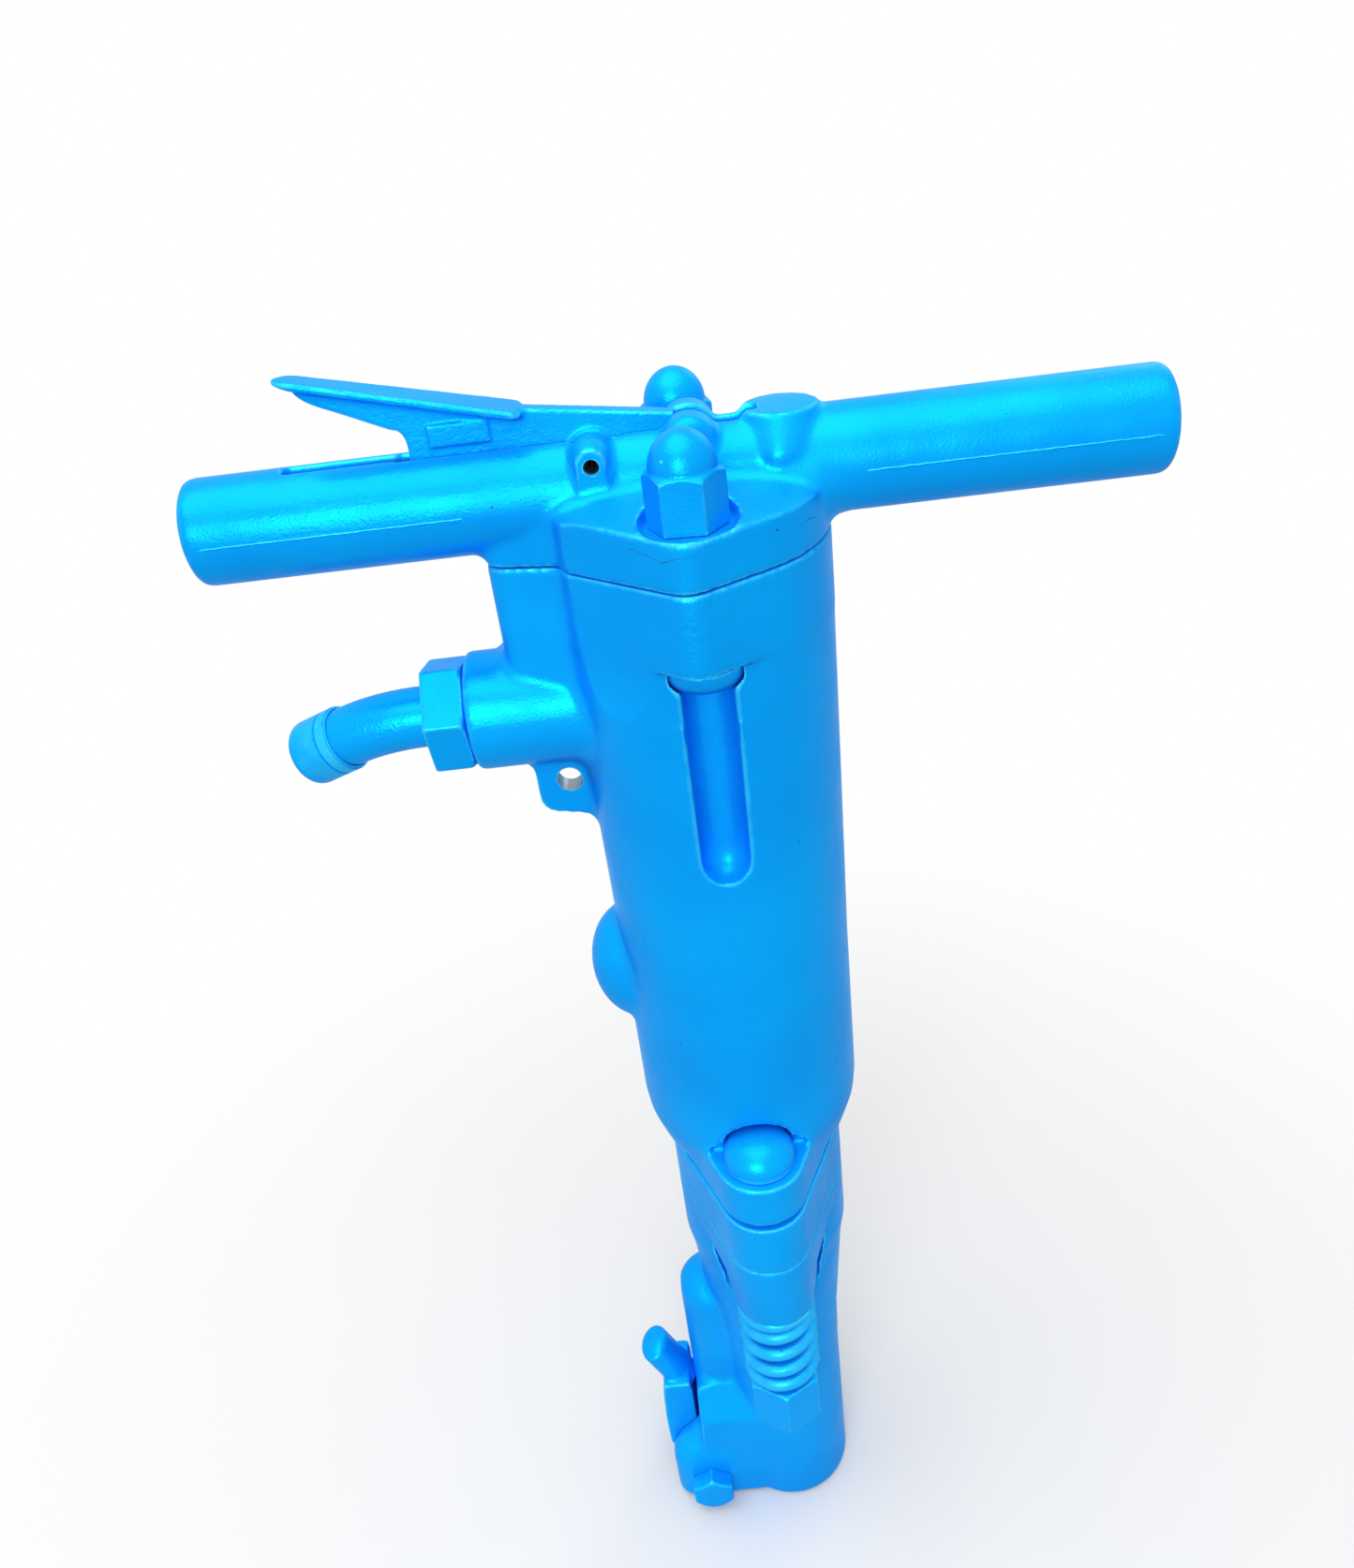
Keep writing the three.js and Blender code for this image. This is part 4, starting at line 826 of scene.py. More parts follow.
def chest_flats(rows):
    angle = math.radians(FLAT_TURN)
    out = Vector((-math.sin(angle), math.cos(angle)))
    along = Vector((math.cos(angle), math.sin(angle)))

    def plank(side, away):
        start = out * (FLAT_FROM_AXIS + away)
        near, far = start - along * FLAT_BEFORE, start + along * FLAT_AFTER
        deep = out * FLAT_DEPTH
        return [(x, side * y) for x, y in (near, far, far + deep, near + deep)]

    return [loft([(plank(side, away), z, 1, 1) for away, z in rows]) for side in (-1, 1)]


crown_rows = [(1, 1, 0), (0.985, 0.95, 0.09), (0.96, 0.66, 0.34), (0.92, 0.4, 0.62), (0.86, 0.22, 1)]
plate = loft([(upper_outline, backhead_foot, 1, 1)] + [
    (upper_outline, RIM + CROWN_HEIGHT * lift, along, across) for along, across, lift in crown_rows
])
print("bar", round(bar_right - bar_left, 1), "mm long")
print("plate", round(RIM - backhead_foot, 1), "mm thick")

# %% [markdown]
# On top of the bar sits a small hump that the lever's slot splits in two, and to the right of it an
# oval boss with a flat top, whose foot reaches down the front and the rear of the bar. The lever
# turns between two raised tongues. The boss is lofted through ovals of different sizes, because its
# wall is neither straight nor part of a ball.

# %% Backhead: boss, hump and tongues
BOSS_TOP = BAR_LEVEL + BAR_RADIUS + 2.8
PIN_X, PIN_LEVEL = -34, BAR_LEVEL + 13.8


def oval(wide, deep, shift=0):
    return [(x * wide + shift, y * deep) for x, y in circle(1)]


boss = moved(loft([
    (oval(6, 21, -3), BOSS_TOP - 19, 1, 1),
    (oval(12, 22.5, -2.5), BOSS_TOP - 17, 1, 1),
    (oval(15, 22.6, -1.5), BOSS_TOP - 14.3, 1, 1),
    (oval(15.2, 20, -0.8), BOSS_TOP - 9, 1, 1),
    (oval(14.2, 16.4), BOSS_TOP - 3.2, 1, 1),
    (oval(15.6, 15.2), BOSS_TOP - 1.3, 1, 1),
    (oval(14.9, 14.4), BOSS_TOP - 0.4, 1, 1),
    (oval(8, 7.6), BOSS_TOP, 1, 1),
]), (39.5, 0, 0))
hump = along_y(
    revolve([*round_foot(11, -18, 6), *round_brow(11, 18, 6)]), (4, 0, BAR_LEVEL + BAR_RADIUS - 5.5)
)


def tongue(radius):
    return band([(PIN_X, PIN_LEVEL + 0.8, radius), (PIN_X, PIN_LEVEL - 21, radius)])


pads = along_y(loft([
    (tongue(6), -21.6, 1, 1), (tongue(8.6), -14, 1, 1),
    (tongue(8.6), 14, 1, 1), (tongue(6), 21.6, 1, 1),
]))
print("boss", round(BOSS_TOP - BAR_LEVEL - BAR_RADIUS, 1), "mm above the bar")

# %% [markdown]
# The lever lies in a slot along the bar, and its hub in a round pocket. Each ear has a shallow round
# pocket for its acorn nut. Inside are the bore of the throttle valve and the air passages. What the
# mould leaves open is cut before the last smoothing and comes out soft, and what a drill makes is
# cut after it and stays crisp.

# %% Backhead: slots, pockets and bores
OPEN_TOP, VALVE_X = 700, -66
EAR_HOLE, ROD_HOLE = 8.3, 11.6


def on_pin_axis(shape):
    return along_y(shape, (PIN_X, 0, PIN_LEVEL))


lever_slot = box(-155, 31, -4.1, 4.1, PIN_LEVEL - 2, OPEN_TOP)
deep_slot = box(-111, -20, -5.1, 5.1, PIN_LEVEL - 18, OPEN_TOP)
hub_pocket = on_pin_axis(cylinder(9.8, -8.7, 8.7))
nut_pockets = at_both_ends(cylinder(18.6, RIM, OPEN_TOP), EAR_REACH)
inside = [
    *at_both_ends(cylinder(EAR_HOLE, 620, 660), EAR_REACH),
    moved(cylinder(12.9, 620, 652.3), (VALVE_X, 0, 0)),
    moved(cylinder(3.8, 640, 659), (VALVE_X, 0, 0)),
    cylinder(30.5, 620, 648),
    along_x(cylinder(5, VALVE_X, 0), (0, 0, 643)),
]
backhead = cast(
    "backhead_casting",
    [bar_body(), collar_below(51), plate, prism(chest_outline, backhead_foot, RIM)],
    fillet=6, grain=1.2, small=[boss, hump, pads],
    moulded=[lever_slot, deep_slot, hub_pocket, *nut_pockets, *chest_flats([(0, 630), (0, 672)])],
    machined=[on_pin_axis(cylinder(3.1, -30, 30, 48)), *inside], soften=3,
)

# %% [markdown]
# A thin flash runs along the bar where the two halves of the mould met, and a grinder has left it
# uneven. It is a three-sided strip whose crest rises and sways by chance, with a fixed seed so that
# each run gives the same strip. A bump in the material would be quicker, but wouldn't show against
# the light.

# %% Backhead: flash of the mould


def flash(start, end, side, seed, half_width=0.9):
    chance = random.Random(seed)
    steps, depth = 60, BAR_RADIUS - 0.6
    places, faces = [], []
    for i in range(steps + 1):
        x, sway = start + (end - start) * i / steps, chance.uniform(-0.12, 0.12)
        crest = 0.15 + 0.35 * min(1, i, steps - i) * chance.uniform(0.5, 1)
        z = BAR_LEVEL + sway
        places += [
            (x, side * depth, z - half_width), (x, side * (BAR_RADIUS + crest), z),
            (x, side * depth, z + half_width),
        ]
    for i in range(steps):
        for k in range(3):
            near, far = 3 * i + k, 3 * i + (k + 1) % 3
            faces.append((near, far, far + 3, near + 3))
    return places, [*faces, (2, 1, 0), (3 * steps, 3 * steps + 1, 3 * steps + 2)]


flash_left, flash_right = (bar_left + 8, -86), (70, bar_right - 8)
combine(backhead, "UNION", [
    flash(*flash_left, -1, 3), flash(*flash_right, -1, 4),
    flash(*flash_left, 1, 5), flash(*flash_right, 1, 6),
])
crease(backhead)
dress(backhead, "backhead", "housing", "paint")

# %% [markdown]
# ## The cylinder
# The cylinder is the long casting that the piston runs in. It has the same plate as the backhead at
# its top, two smaller ears at its foot, a barrel between them, and on the side of the lever the air
# chest that carries compressed air up from the inlet. A drilled lug hangs below the inlet. The plate
# and the chest take the backhead's own outlines, so that the two castings match where they meet.

# %% Cylinder: the bodies of the pattern
SHELF, BARREL_RADIUS, NECK_RADIUS = 601, 54.9, 44.8
INLET_LEVEL, ROD_REACH, ROD_EAR = 566.3, 56, 21.9
lower_outline = eared(NECK_RADIUS, ROD_REACH, ROD_EAR)
LOWER_EAR_TOP = 333


def on_inlet_axis(shape):
    return along_x(shape, (0, 0, INLET_LEVEL))


barrel = revolve([
    (NECK_RADIUS, barrel_foot), (48.4, 314), (51.6, 324), (53.9, 332), (BARREL_RADIUS, 342),
    (BARREL_RADIUS, 430), (56.7, SHELF - 4), (FLANGE_RADIUS, SHELF + 4), (FLANGE_RADIUS, barrel_top),
])
inlet_boss = on_inlet_axis(revolve([*round_foot(25.8, -101.5, 2), (25.8, -40)]))
inlet_stub = on_inlet_axis(cylinder(17, -112.5, -40))
lug_plate = upright(band([
    (-71.5, 521, 8.5), (-70, 545, 10), (-55, 520.5, 8), (-48, 527, 19), (-48, INLET_LEVEL, 25),
]), 5)
ball_places, ball_faces = revolve(arc((0, 0), 1, -90, 90, 24))
blister = moved(([(x * 22, y * 22, z * 32) for x, y, z in ball_places], ball_faces), (-49, 0, 420.5))
print("barrel", round(barrel_top - barrel_foot, 1), "mm long")

# %% [markdown]
# Each backhead bolt has a D-shaped head that hooks under the shelf. The barrel is turned back a
# little below the shelf and bored out for the head, and a groove with a round end runs down from
# there, so that the bolt can be put in from underneath. The lower ears have round pockets for the
# domed heads of the long bolts. Behind each head the pocket runs back into the barrel as a low arch.
# All of it is cut from the closed casting, as a core leaves it open in the mould.

# %% Cylinder: pockets and bores
BORE, STEM_BORE, OUTSIDE = 33.35, 22.4, 85


def end_pockets(side):
    groove = side * 52
    section = band([(0, groove, 9.5), (0, groove + side * 9, 12)])
    bowl = [(0.999, 0), (0.97, 3), (0.88, 6), (0.72, 8.5), (0.5, 10.5), (0.2, 12)]
    rows = [
        ([(x * share, groove + (y - groove) * share) for x, y in section], 511 - fall, 1, 1)
        for share, fall in reversed(bowl)
    ]
    head_room = revolve([(18.5, LOWER_EAR_TOP), *domed(18.5, 18, 336, range(0, 89, 8))])
    across = [(-1, side * 48.2), (1, side * 48.2), (1, side * OUTSIDE), (-1, side * OUTSIDE)]
    arch = [(LOWER_EAR_TOP, 26), (336.5, 23), (342, 16.5), (347.5, 9)]
    turned_back = [(x, y + 8) for x, y in arc((0, 0), 64, -118, -62, 24)]
    relief = prism([*turned_back, (40, -OUTSIDE), (-40, -OUTSIDE)], 577, SHELF)
    seat = revolve([
        (11.3, 589.4), (13.1, 590.5), (15.2, 592.4), (16.7, 595), (17.1, 597.5), (17.1, SHELF),
    ])
    return [
        loft([*rows, (section, SHELF, 1, 1)]),
        relief if side < 0 else turn_about(relief, 180),
        moved(seat, (0, side * EAR_REACH, 0)),
        moved(head_room, (0, side * ROD_REACH, 0)),
        loft([(across, level, half_width, 1) for level, half_width in arch]),
    ]


def bolt_holes(side):
    return [
        moved(cylinder(EAR_HOLE, 590, 650), (0, side * EAR_REACH, 0)),
        moved(cylinder(ROD_HOLE, 290, 340), (0, side * ROD_REACH, 0)),
    ]


port = prism(band([(0, 478, 9), (0, 444, 9)]), 0, 62)
exhaust = ([(x, z, y) for x, y, z in port[0]], port[1])
bores = [
    cylinder(BORE, 380, 660), cylinder(STEM_BORE, 290, 381), cylinder(34.8, 600.6, 660),
    moved(cylinder(11.5, 616, 660), (VALVE_X, 0, 0)),
    moved(cylinder(6.6, INLET_LEVEL, 617), (VALVE_X, 0, 0)),
    on_inlet_axis(cylinder(12, -120, -54)), exhaust,
    along_y(cylinder(5.8, -20, 20, 64), (LUG_X, 0, LUG_Z)),
]
cylinder_casting = cast(
    "cylinder_casting",
    [
        barrel, prism(upper_outline, SHELF, barrel_top),
        prism(lower_outline, barrel_foot, LOWER_EAR_TOP),
        inlet_boss, inlet_stub, lug_plate, blister, prism(chest_outline, INLET_LEVEL, barrel_top),
    ],
    fillet=6, grain=1.15,
    moulded=[
        *end_pockets(-1), *end_pockets(1),
        *chest_flats([(6, 556), (1, 584), (0, 596), (0, barrel_top + 2)]),
    ],
    machined=[*bolt_holes(-1), *bolt_holes(1), *bores], soften=3,
)
dress(cylinder_casting, "cylinder", "housing", "paint")

# %% [markdown]
# ## The front end
# Below the cylinder a thick plate, the anvil block, carries the upper end of the anvil. It is lifted
# straight up from the outline of the lower ears. Its last three millimetres are drawn in, which
# leaves the narrow groove that shows all round the joint.

# %% Anvil block
block = cast(
    "anvil_block_casting",
    [loft([
        (lower_outline, block_foot, 1, 1), (lower_outline, block_top - 3.2, 1, 1),
        (lower_outline, block_top - 3, 0.93, 0.9), (lower_outline, block_top, 0.93, 0.9),
    ])],
    fillet=1, grain=0.9,
    machined=[
        cylinder(21.9, 260, 320), cylinder(30.3, 260, 305.3),
        *at_both_ends(cylinder(ROD_HOLE, 260, 320), ROD_REACH),
    ],
    soften=2,
)
dress(block, "anvil_block", "housing", "paint")

# %% [markdown]
# The fronthead holds the tool steel. Its body widens upwards in a few soft steps, and its ears hang
# over the two springs. On the lever's side two cheeks carry the retainer latch. Each cheek is a
# rounded lobe about the latch bolt, with a shoulder beside it that leans back towards the body, and
# between them runs a rib that holds the spring plunger of the latch. Both cheeks are made as one
# block, because the slot that is cut for the latch leaves them standing with parallel faces.

# %% Fronthead: the bodies of the pattern
SPRING_TOP = 229
body_rows = [
    *round_foot(36, 0, 3), (36, 115), (37, 152), (39.8, 186), (42.5, 219), (44.8, 233),
    (44.8, fronthead_top),
]
ears = loft([
    (eared(24, ROD_REACH, 21), SPRING_TOP, 1, 1), (eared(35, ROD_REACH, 21), 244, 1, 1),
    (lower_outline, 269, 1, 1), (lower_outline, fronthead_top, 1, 1),
])
rib = moved(revolve([(20, 2), *domed(20, 17, 169, range(0, 91, 9))]), (-36, 0, 0))


def shoulder_at(top):
    return band([(-47, 12, 10), (-24, 12, 10), (-47, top - 7, 7), (-24, top - 7, 7)])


shoulders = along_y(loft([
    (shoulder_at(78), -32, 1, 1), (shoulder_at(101), -21.5, 1, 1),
    (shoulder_at(101), 21.5, 1, 1), (shoulder_at(78), 32, 1, 1),
]))


def lobe_at(start, half):
    corner = 11
    return band([
        (start + corner, half - corner, corner), (start + corner, corner - half, corner),
        (-40, half - 8, 8), (-40, 8 - half, 8),
    ])


lobes = loft([
    (lobe_at(-72, 30), 2, 1, 1), (lobe_at(-74.5, 33), 5, 1, 1), (lobe_at(-74.5, 33.3), 36, 1, 1),
    (lobe_at(-73.5, 33), 42, 1, 1), (lobe_at(-69, 32), 50, 1, 1), (lobe_at(-61, 29.5), 58, 1, 1),
    (lobe_at(-55, 27), 66, 1, 1),
])
print("fronthead", round(fronthead_top, 1), "mm high")

# %% [markdown]
# Towards the camera and to the rear the springs lie in round hollows, so that they sit close in, and
# deep slits part the ears from the body above them. A slit narrows on the way up and moves outwards,
# so it is lofted through five outlines.

# %% Fronthead: slits, hollows and bores
LATCH_X, LATCH_Z = -52, 19
SLIT_END = 46


def on_latch_axis(shape):
    return along_y(shape, (LATCH_X, 0, LATCH_Z))


def slit(side, end):
    def across(near, far, back):
        corners_of_slit = ((near, back), (far, back), (far, SLIT_END), (near, SLIT_END))
        return [(side * x, end * y) for x, y in corners_of_slit]

    return loft([
        (across(14, 23, 35.5), 158, 1, 1), (across(14, 24.5, 34.5), 200, 1, 1),
        (across(19, 26, 28), 218, 1, 1), (across(23, 28.5, 24), 233, 1, 1),
        (across(29, 30.5, 23), 248, 1, 1),
    ])


latch_room = [
    on_latch_axis(cylinder(33, -16.4, 16.4)),
    box(-85, -54.7, -16.4, 16.4, -5, 200),
    box(-85, LATCH_X, -16.4, 16.4, -5, LATCH_Z),
]
fronthead = cast(
    "fronthead_casting",
    [revolve(body_rows), ears, rib, shoulders, lobes],
    fillet=4, grain=1.2,
    moulded=[
        *[slit(side, end) for side in (-1, 1) for end in (-1, 1)],
        *at_both_ends(cylinder(22.2, 126.4, SPRING_TOP), ROD_REACH),
        *latch_room,
    ],
    machined=[
        *at_both_ends(cylinder(ROD_HOLE, 220, 280), ROD_REACH),
        cylinder(27, -5, 62), cylinder(25.3, 61, 199), cylinder(29.3, 198.7, 206),
        cylinder(30.3, 205, 280), on_latch_axis(cylinder(8.2, -40, 40)),
        moved(cylinder(6.85, LATCH_Z, 168), (-41, 0, 0)),
    ],
)
dress(fronthead, "fronthead", "fronthead", "paint")

# %% [markdown]
# The chuck bushing is a hardened ring with a hexagonal hole, the only bare steel that shows from
# below. Its mouth is turned to a cone so that the tool steel finds its way in. It is a machined
# piece, so it needs no remesh: a turned ring, a hexagon cut through it, and a fine bevel.

# %% Chuck bushing
bushing = make("chuck_bushing_steel", revolve([(25, 62.3), (25, 199), (29, 199), (29, 206)]))
corner = 32.4 / math.sqrt(3)
cut(
    bushing,
    cylinder(corner, 50, 215, 6),
    revolve([(corner + 3, 50), (corner + 3, 62.6), (corner - 3, 68)]),
)
modify(
    bushing, "BEVEL", width=0.4 * MM, segments=2, limit_method="ANGLE",
    angle_limit=math.radians(50),
)
bake(bushing)
crease(bushing, MACHINED_CREASE)
dress(bushing, "chuck_bushing", "fronthead", "steel")
print("bushing", len(bushing.data.polygons), "faces")

# %% [markdown]
# ## Retainer latch
# The latch is a forging that swings about a bolt between the cheeks. Its lobe reaches under the
# collar of the tool steel, and its bent finger stands up to be knocked over with a hammer. The
# finger is an oval bar with a blunt, rounded end, drawn out of the block of the latch.

# %% Latch
LATCH_HALF, LOBE_STEPS = 15.9, 24
lobe = []
for step in range(LOBE_STEPS + 1):
    angle = math.radians(-8 + 94 * step / LOBE_STEPS)
    reach = 30 + 1.6 * (1 - step / LOBE_STEPS)
    lobe.append((LATCH_X + reach * math.cos(angle), LATCH_Z + reach * math.sin(angle)))
latch_body = upright(lobe + [
    (-57.5, 49), (-57.5, 88), (-58.5, 95), (-74, 95), (-75.5, 85), (-76.5, 60), (-76, 36), (-67, 24),
    *arc((LATCH_X, LATCH_Z), 15, 180, 352, 12),
], LATCH_HALF)
finger_run, finger_tip = math.hypot(13, 28.5), 4.5
finger_lean = Matrix.Rotation(math.atan2(-13, 28.5), 3, "Y")
finger_rows = [
    (9, -9), (9, finger_run - finger_tip),
    *domed(9, finger_tip, finger_run - finger_tip, range(9, 91, 9)),
]
round_places, finger_faces = revolve(finger_rows, 48)
finger = ([(x, y * 12 / 9, z) for x, y, z in round_places], finger_faces)
latch = cast(
    "latch_forging", [latch_body],
    fillet=5, grain=0.8, small=[moved(finger, (-66, 0, 92), finger_lean)],
    machined=[on_latch_axis(cylinder(8.3, -20, 20))], soften=4,
)
dress(latch, "retainer_latch", "latch", "paint")

# %% [markdown]
# ## Throttle lever
# The lever is a flat steel blade with a wide thumb tab welded along its top and a hub that turns on
# a rolled pin. Its outline is drawn from the side and given the thickness of the blade, and the tab
# is laid on at the slope of the blade's top edge. The lever is much thinner than the castings, so it
# is meshed with a finer grain, which keeps the weld small.

# %% Throttle lever
TIP_LEVEL, KNEE_LEVEL, HEEL_LEVEL = PIN_LEVEL + 43, PIN_LEVEL + 20.8, PIN_LEVEL + 13.2
THUMB_TIP, THUMB_HEEL = 152, 61
slope = math.atan2(TIP_LEVEL - KNEE_LEVEL, THUMB_TIP - THUMB_HEEL)


def curve(start, pull, end, steps=10):
    rows = [i / steps for i in range(steps + 1)]
    return [tuple(
        (1 - t) ** 2 * s + 2 * t * (1 - t) * p + t * t * e for s, p, e in zip(start, pull, end)
    ) for t in rows]


blade = upright([
    *curve((-143, 712.2), (-143, 706), (-130, 701)), *curve((-109, 691), (-104, 691), (-104, 683)),
    (-104, 675), (-4.2, 675), *curve((-4.2, 675), (-1, 675), (-1, 683)), (-1, HEEL_LEVEL - 1),
    (-THUMB_HEEL, KNEE_LEVEL),
], 3.7)
thumb_outline = band([(-145, 0, 7), (-61.3, 6.67, 3.33), (-61.3, -6.67, 3.33)])


def tab_row(lift, inset):
    return ([(x + (-95 - x) * inset, y * (1 - inset)) for x, y in thumb_outline], lift, 1, 1)


tab = loft([tab_row(-3.2, 0.07), tab_row(-2.3, 0), tab_row(-1, 0), tab_row(0, 0.05)])
tab = moved(tab, (THUMB_HEEL, 0, 0))
tab = moved(tab, (-THUMB_HEEL, 0, KNEE_LEVEL), Matrix.Rotation(slope, 3, "Y"))
lever = cast(
    "throttle_lever_blade",
    [blade, tab, on_pin_axis(cylinder(8.6, -8.4, 8.4))],
    fillet=2.5, grain=0.65, small=[box(-95, -72, -4.7, 4.7, 683, 691)],
    machined=[on_pin_axis(cylinder(3.5, -20, 20, 48))], soften=4,
)
dress(lever, "throttle_lever", "lever", "paint")

# %% [markdown]
# The lever turns on a pin that is rolled from sheet, with a slit along it that lets it spring into
# its hole. A solid pin would do from the side, but both ends show. So the pin is turned as a tube
# with flared ends and then slit with a thin box.

# %% Lever pin
SLIT_HALF = 0.45
pin = make("lever_pin_rolled", on_pin_axis(revolve(
    [(1.7, -16), (2.8, -19.5), (3.2, -19), (3.2, 19), (2.8, 19.5), (1.7, 16), (1.7, -16)], 64
)))
cut(pin, box(PIN_X - SLIT_HALF, PIN_X + SLIT_HALF, -25, 25, PIN_LEVEL, PIN_LEVEL + 6))
crease(pin)
dress(pin, "lever_pin", "housing", "dark_steel")

# %% [markdown]
# ## Bolts and nuts
# A hexagon nut is turned at a slant before its faces are milled, which leaves the curved bevels at
# its corners: it is what a hexagon and a turned cone have in common. Thick enamel rounds every edge
# a little more, so the nuts are meshed with a fine grain and softened too.

# %% Helpers: hexagon pieces


def hexagon(flats, low, high, low_bevel=0.0, high_bevel=0.0):
    reach, fall = flats / math.sqrt(3), math.tan(math.radians(30))
    turned = revolve([
        (reach - low_bevel, low), (reach, low + low_bevel * fall + 0.01),
        (reach, high - high_bevel * fall - 0.01), (reach - high_bevel, high),
    ])
    return cylinder(reach, low, high, 6), turned


def painted(name, blank, turned=(), added=(), drilled=(), grain=0.8, soften=4):
    piece = make(name, blank)
    if turned:
        combine(piece, "INTERSECT", turned)
    if added:
        combine(piece, "UNION", added)
    modify(piece, "REMESH", mode="VOXEL", voxel_size=grain * MM)
    modify(piece, "SMOOTH", factor=0.5, iterations=soften)
    bake(piece)
    if drilled:
        cut(piece, *drilled)
    crease(piece)
    print(name, len(piece.data.polygons), "faces")
    return piece


print("a hexagon blank has", len(hexagon(27, 0, 20)[0][1]), "faces")

# %% [markdown]
# On each ear an acorn nut holds the backhead down: a hexagon, turned to a cone at its shoulder, with
# a dome on top. It screws onto a bolt whose D-shaped head hooks under the shelf of the cylinder. The
# nut could be one lofted outline, but the dome and the six faces would then run into each other, so
# they are made apart and joined, and meet in the crisp curve of the real nut.

# %% Acorn nuts and backhead bolts
ACORN_FLATS, ACORN_FOOT, ACORN_SHOULDER = 27, 655.3, 676.4
for place, side in (("front", -1), ("rear", 1)):
    at = (0, side * EAR_REACH, 0)
    reach = ACORN_FLATS / math.sqrt(3)
    blank = cylinder(reach, ACORN_FOOT, ACORN_SHOULDER, 6)
    cone = revolve([(reach + 4, 651), (reach + 4, 671.7), (13.3, ACORN_SHOULDER)])
    dome = revolve([(12.9, ACORN_FOOT), *domed(12.9, 14.3, ACORN_SHOULDER, range(0, 91, 6))])
    acorn = painted(
        f"acorn_nut_{place}_painted", moved(turn_about(blank, -6.5), at), [moved(cone, at)],
        [moved(dome, at)], [moved(cylinder(8.24, 650, 673), at)], grain=0.5, soften=2,
    )
    dress(acorn, f"acorn_nut_{place}", "housing", "paint")
    head = moved(revolve([
        (7.94, 671), (7.94, 600.7), (16.5, 600.7), (16.5, 597.5), (16, 595.4), (14.7, 593.1),
        (12.7, 591.3), (11, 590.3),
    ]), at)
    flat = box(-21, 21, *sorted((0, side * 38.6)), 586, 600.85)
    bolt = painted(f"backhead_bolt_{place}_painted", head, drilled=[flat])
    dress(bolt, f"backhead_bolt_{place}", "housing", "paint")

# %% [markdown]
# Two long bolts with domed heads hang from the lower ears and carry the fronthead on springs, so
# that a blow without a tool steel doesn't break the castings. A curve with a round bevel would give
# an even spring. Here the first and the last turn lie closer than the others and are ground flat, so
# the wire is laid ring by ring with its own rise, and its ends are cut off level.

# %% Long bolts, springs and nuts of the fronthead
SPRING = {
    "radius": 16.8, "wire": 4.2, "low": 166.3, "high": 228.7, "turns": 4.9, "closed": 9.4,
    "lift": 1.5,
}


def coil(radius, wire, low, high, turns, closed, lift, steps=40, around=20):
    count, free = round(turns * steps), high - low - 2 * (lift + closed)
    rings = []
    for i in range(count + 1):
        turn = turns * i / count
        packed = min(turn, 1) + max(0, turn - turns + 1)
        open_share = min(max((turn - 1) / (turns - 2), 0), 1)
        z, angle = low + lift + packed * closed + open_share * free, turn * math.tau
        rings.append([(
            (radius - wire * math.cos(k * math.tau / around)) * math.cos(angle),
            (radius - wire * math.cos(k * math.tau / around)) * math.sin(angle),
            z + wire * math.sin(k * math.tau / around),
        ) for k in range(around)])
    return skin_over(rings)


def shorten(spring):
    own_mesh(spring)


for place, side in (("front", -1), ("rear", 1)):
    at = (0, side * ROD_REACH, 0)
    rod = make(f"fronthead_bolt_{place}_painted", moved(revolve([
        (9.6, 127), (11.1, 128.5), (11.1, 333.3), (16.9, 333.3), (17.5, 333.9),
        *domed(17.5, 13.2, 336.3, range(0, 86, 5)),
    ]), at))
    crease(rod, MACHINED_CREASE)
    dress(rod, f"fronthead_bolt_{place}", "housing", "paint")
    blank, turned = hexagon(36.5, 133, 166, 2.8, 2.8)
    nut = painted(
        f"fronthead_nut_{place}_painted", moved(turn_about(blank, 30), at), [moved(turned, at)],
        drilled=[moved(cylinder(11.4, 120, 180), at)], grain=0.9,
    )
    dress(nut, f"fronthead_nut_{place}", "housing", "paint")
    wire = make(f"fronthead_spring_{place}_painted", moved(coil(**SPRING), at))
    low, high = SPRING["low"], SPRING["high"]
    combine(wire, "INTERSECT", [moved(cylinder(25, low, high), at)])
    crease(wire, MACHINED_CREASE)
    dress(wire, f"fronthead_spring_{place}", "housing", "paint")
    shorten(wire)

# %% [markdown]
# Two small springs work inside. The one under the throttle valve stands on the floor of its bore,
# and the one over the latch plunger hangs from the top of its own, so each has one end that stays
# where it is while the other end follows the piece that it pushes. The same function winds them,
# with their size read from the solids that they stand for.

# %% Springs of the throttle valve and the latch plunger
for node, body, joint, travel, wire_radius, stands in (
    ("throttle_valve_spring", "housing", "throttle_stroke", 7.1, 0.9, True),
    ("latch_plunger_spring", "fronthead", "plunger_stroke", 5.1, 0.8, False),
):
    low, high = corners(node)
    radius, middle = (high.y - low.y) / 2 - wire_radius, (low.x + high.x) / 2
    wound = coil(radius, wire_radius, low.z, high.z, 3, 3 * wire_radius, wire_radius)
    wire = make(f"{node}_wire", moved(wound, (middle, 0, 0)))
    crease(wire, MACHINED_CREASE)
    dress(wire, node, body, "steel")
    shorten(wire)
    print(node, round(high.z - low.z, 1), "mm long")

# %% [markdown]
# The latch swings on a bolt through both cheeks. Its head and its nut have the same size across
# their flats, and each is bevelled only on its outer side, as the inner one lies flat on its cheek.
# They are drawn upright like all nuts here and laid along the bolt's axis at the end.

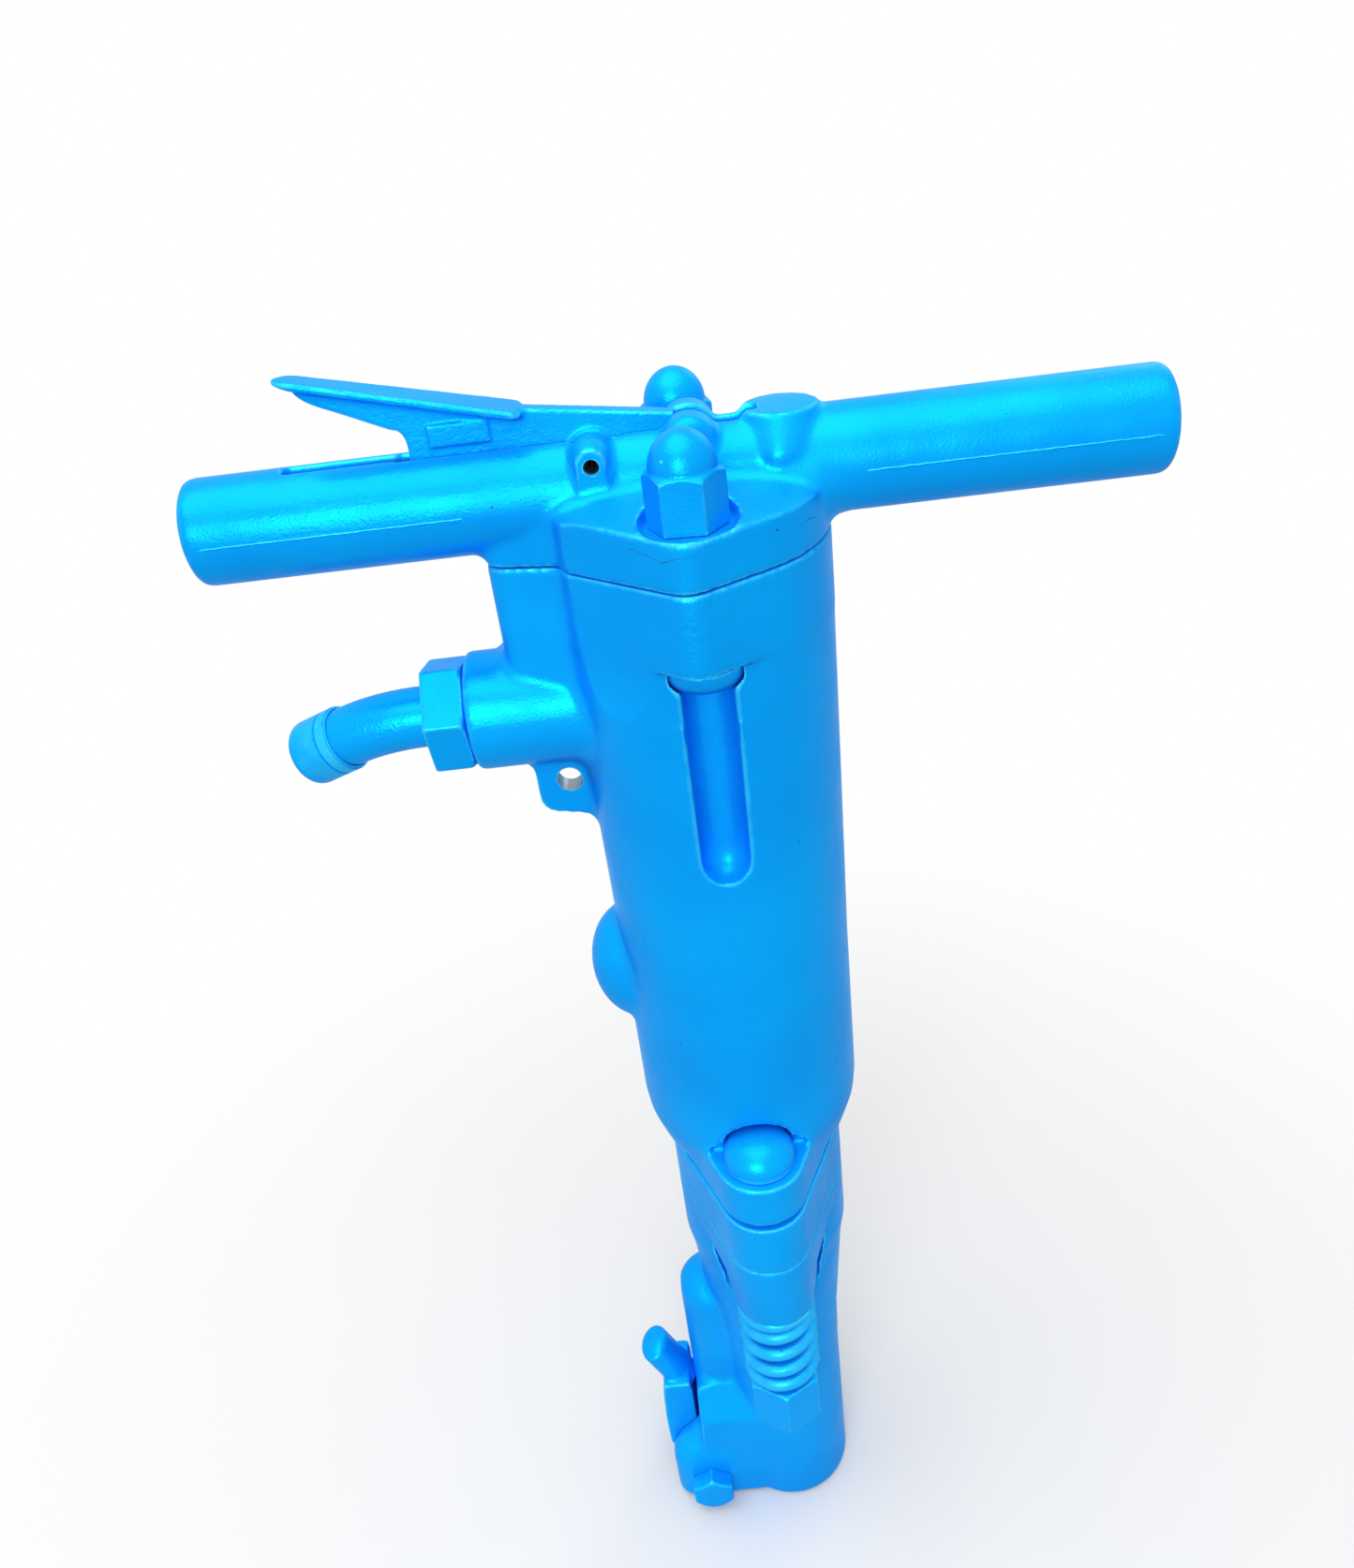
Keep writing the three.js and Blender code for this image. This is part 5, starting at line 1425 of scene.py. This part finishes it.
# %% Latch bolt and latch nut
LATCH_FLATS = 24.4
blank, turned = hexagon(LATCH_FLATS, 33.3, 43.3, 0, 2.6)
bolt = painted(
    "latch_bolt_painted", on_latch_axis(turn_about(blank, 30)), [on_latch_axis(turned)],
    [on_latch_axis(cylinder(7.9, -49.3, 34))],
)
dress(bolt, "latch_bolt", "fronthead", "paint")
blank, turned = hexagon(LATCH_FLATS, -45.3, -33.3, 2.6, 0)
nut = painted(
    "latch_nut_painted", on_latch_axis(blank), [on_latch_axis(turned)],
    drilled=[on_latch_axis(cylinder(8.2, -50, -30))],
)
dress(nut, "latch_nut", "fronthead", "paint")

# %% [markdown]
# ## Air inlet
# A large swivel nut holds the flange of a bent pipe against the inlet, so that the hose can come
# from any side. It is a hexagon like the others, laid along the inlet's axis and drilled in two
# steps, wide for the thread and narrower for the pipe.

# %% Swivel nut
SWIVEL_FLATS, SWIVEL_TURN = 44.45, 16.8
blank, turned = hexagon(SWIVEL_FLATS, -120, -102.2, 1, 2.6)
nut = painted(
    "swivel_nut_painted", on_inlet_axis(turn_about(blank, SWIVEL_TURN)), [on_inlet_axis(turned)],
    drilled=[on_inlet_axis(cylinder(17.3, -117, -98)), on_inlet_axis(cylinder(13.95, -126, -98))],
    grain=0.9,
)
dress(nut, "swivel_nut", "housing", "paint")

# %% [markdown]
# The pipe starts straight, bends down and a little to the rear, and ends straight. A curve with a
# bevel would do the outside, but the pipe is open, so a thinner tube along the same route is cut out
# of it. The rings of the tube stand square to the route at every step.

# %% Inlet pipe
BEND, TILT, BEND_RADIUS, BEND_START = math.radians(28), math.radians(30), 80, -122.5
INLET_FACE, GASKET, GAP = -112.5, 1.4, 0.3
PIPE_RADIUS, PIPE_BORE, FLANGE_RISE = 13.35, 9.5, 16.7
sideways = Vector((0, math.sin(TILT), -math.cos(TILT)))
flange_face = INLET_FACE - GAP - GASKET - GAP


def route(steps=24):
    start = Vector((flange_face, 0, INLET_LEVEL))
    points, ways = [start], [Vector((-1, 0, 0))]
    for i in range(steps + 1):
        angle = BEND * i / steps
        centre = Vector((BEND_START - BEND_RADIUS * math.sin(angle), 0, INLET_LEVEL))
        points.append(centre + sideways * BEND_RADIUS * (1 - math.cos(angle)))
        ways.append(Vector((-math.cos(angle), 0, 0)) + sideways * math.sin(angle))
    return points, ways


def sweep(points, ways, radius, sides=64):
    level_axis = sideways.cross(Vector((-1, 0, 0))).normalized()
    rings = []
    for point, way in zip(points, ways):
        other = way.cross(level_axis)
        ring = [point + radius * (x * level_axis + y * other) for x, y in circle(1, sides)]
        rings.append([tuple(place) for place in ring])
    return skin_over(rings)


points, ways = route()
mouth, mouth_way = points[-1], ways[-1]
tube = sweep([*points, mouth + mouth_way * 17], [*ways, mouth_way], PIPE_RADIUS)
before, beyond = points[0] + Vector((6, 0, 0)), mouth + mouth_way * 30
hollow = sweep([before, *points, beyond], [ways[0], *ways, mouth_way], PIPE_BORE)
pipe = make("inlet_pipe_painted", tube)
combine(pipe, "UNION", [on_inlet_axis(cylinder(FLANGE_RISE, flange_face - 2.4, flange_face))])
cut(pipe, hollow)
crease(pipe)
dress(pipe, "inlet_spud", "spud", "paint")

# %% [markdown]
# Where the hose would go on, the pipe ends in a collar with turned rings. It is turned about the
# upright axis like any other ring, and then faced along the last stretch of the pipe.

# %% Collar of the pipe
COLLAR_LENGTH = 24
ring_rows = [
    (13.65, 0), (14.3, 0), (14.3, 0.6), (14.9, 1.2), (14.9, 5.5), (14.3, 6), (14.3, 6.6), (14.9, 7.1),
    *round_brow(14.9, COLLAR_LENGTH, 4.6), (PIPE_BORE, COLLAR_LENGTH), (PIPE_BORE, 17.3),
    (13.65, 17.3), (13.65, 0),
]
facing = Vector((0, 0, 1)).rotation_difference(mouth_way).to_matrix()
collar = make("spud_collar_painted", moved(revolve(ring_rows), mouth, facing))
crease(collar)
dress(collar, "spud_collar", "spud", "paint")
print("collar's mouth at", [round(v, 1) for v in mouth + mouth_way * COLLAR_LENGTH])

# %% [markdown]
# The whole tool is meant to fill the same box as the imported model did, so both boxes are printed.

# %% Box of the tool before and after
bpy.context.view_layer.update()
low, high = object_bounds()
print("box in mm before", [round(v / MM, 1) for v in cad_high - cad_low])
print("box in mm after ", [round(v / MM, 1) for v in high - low])
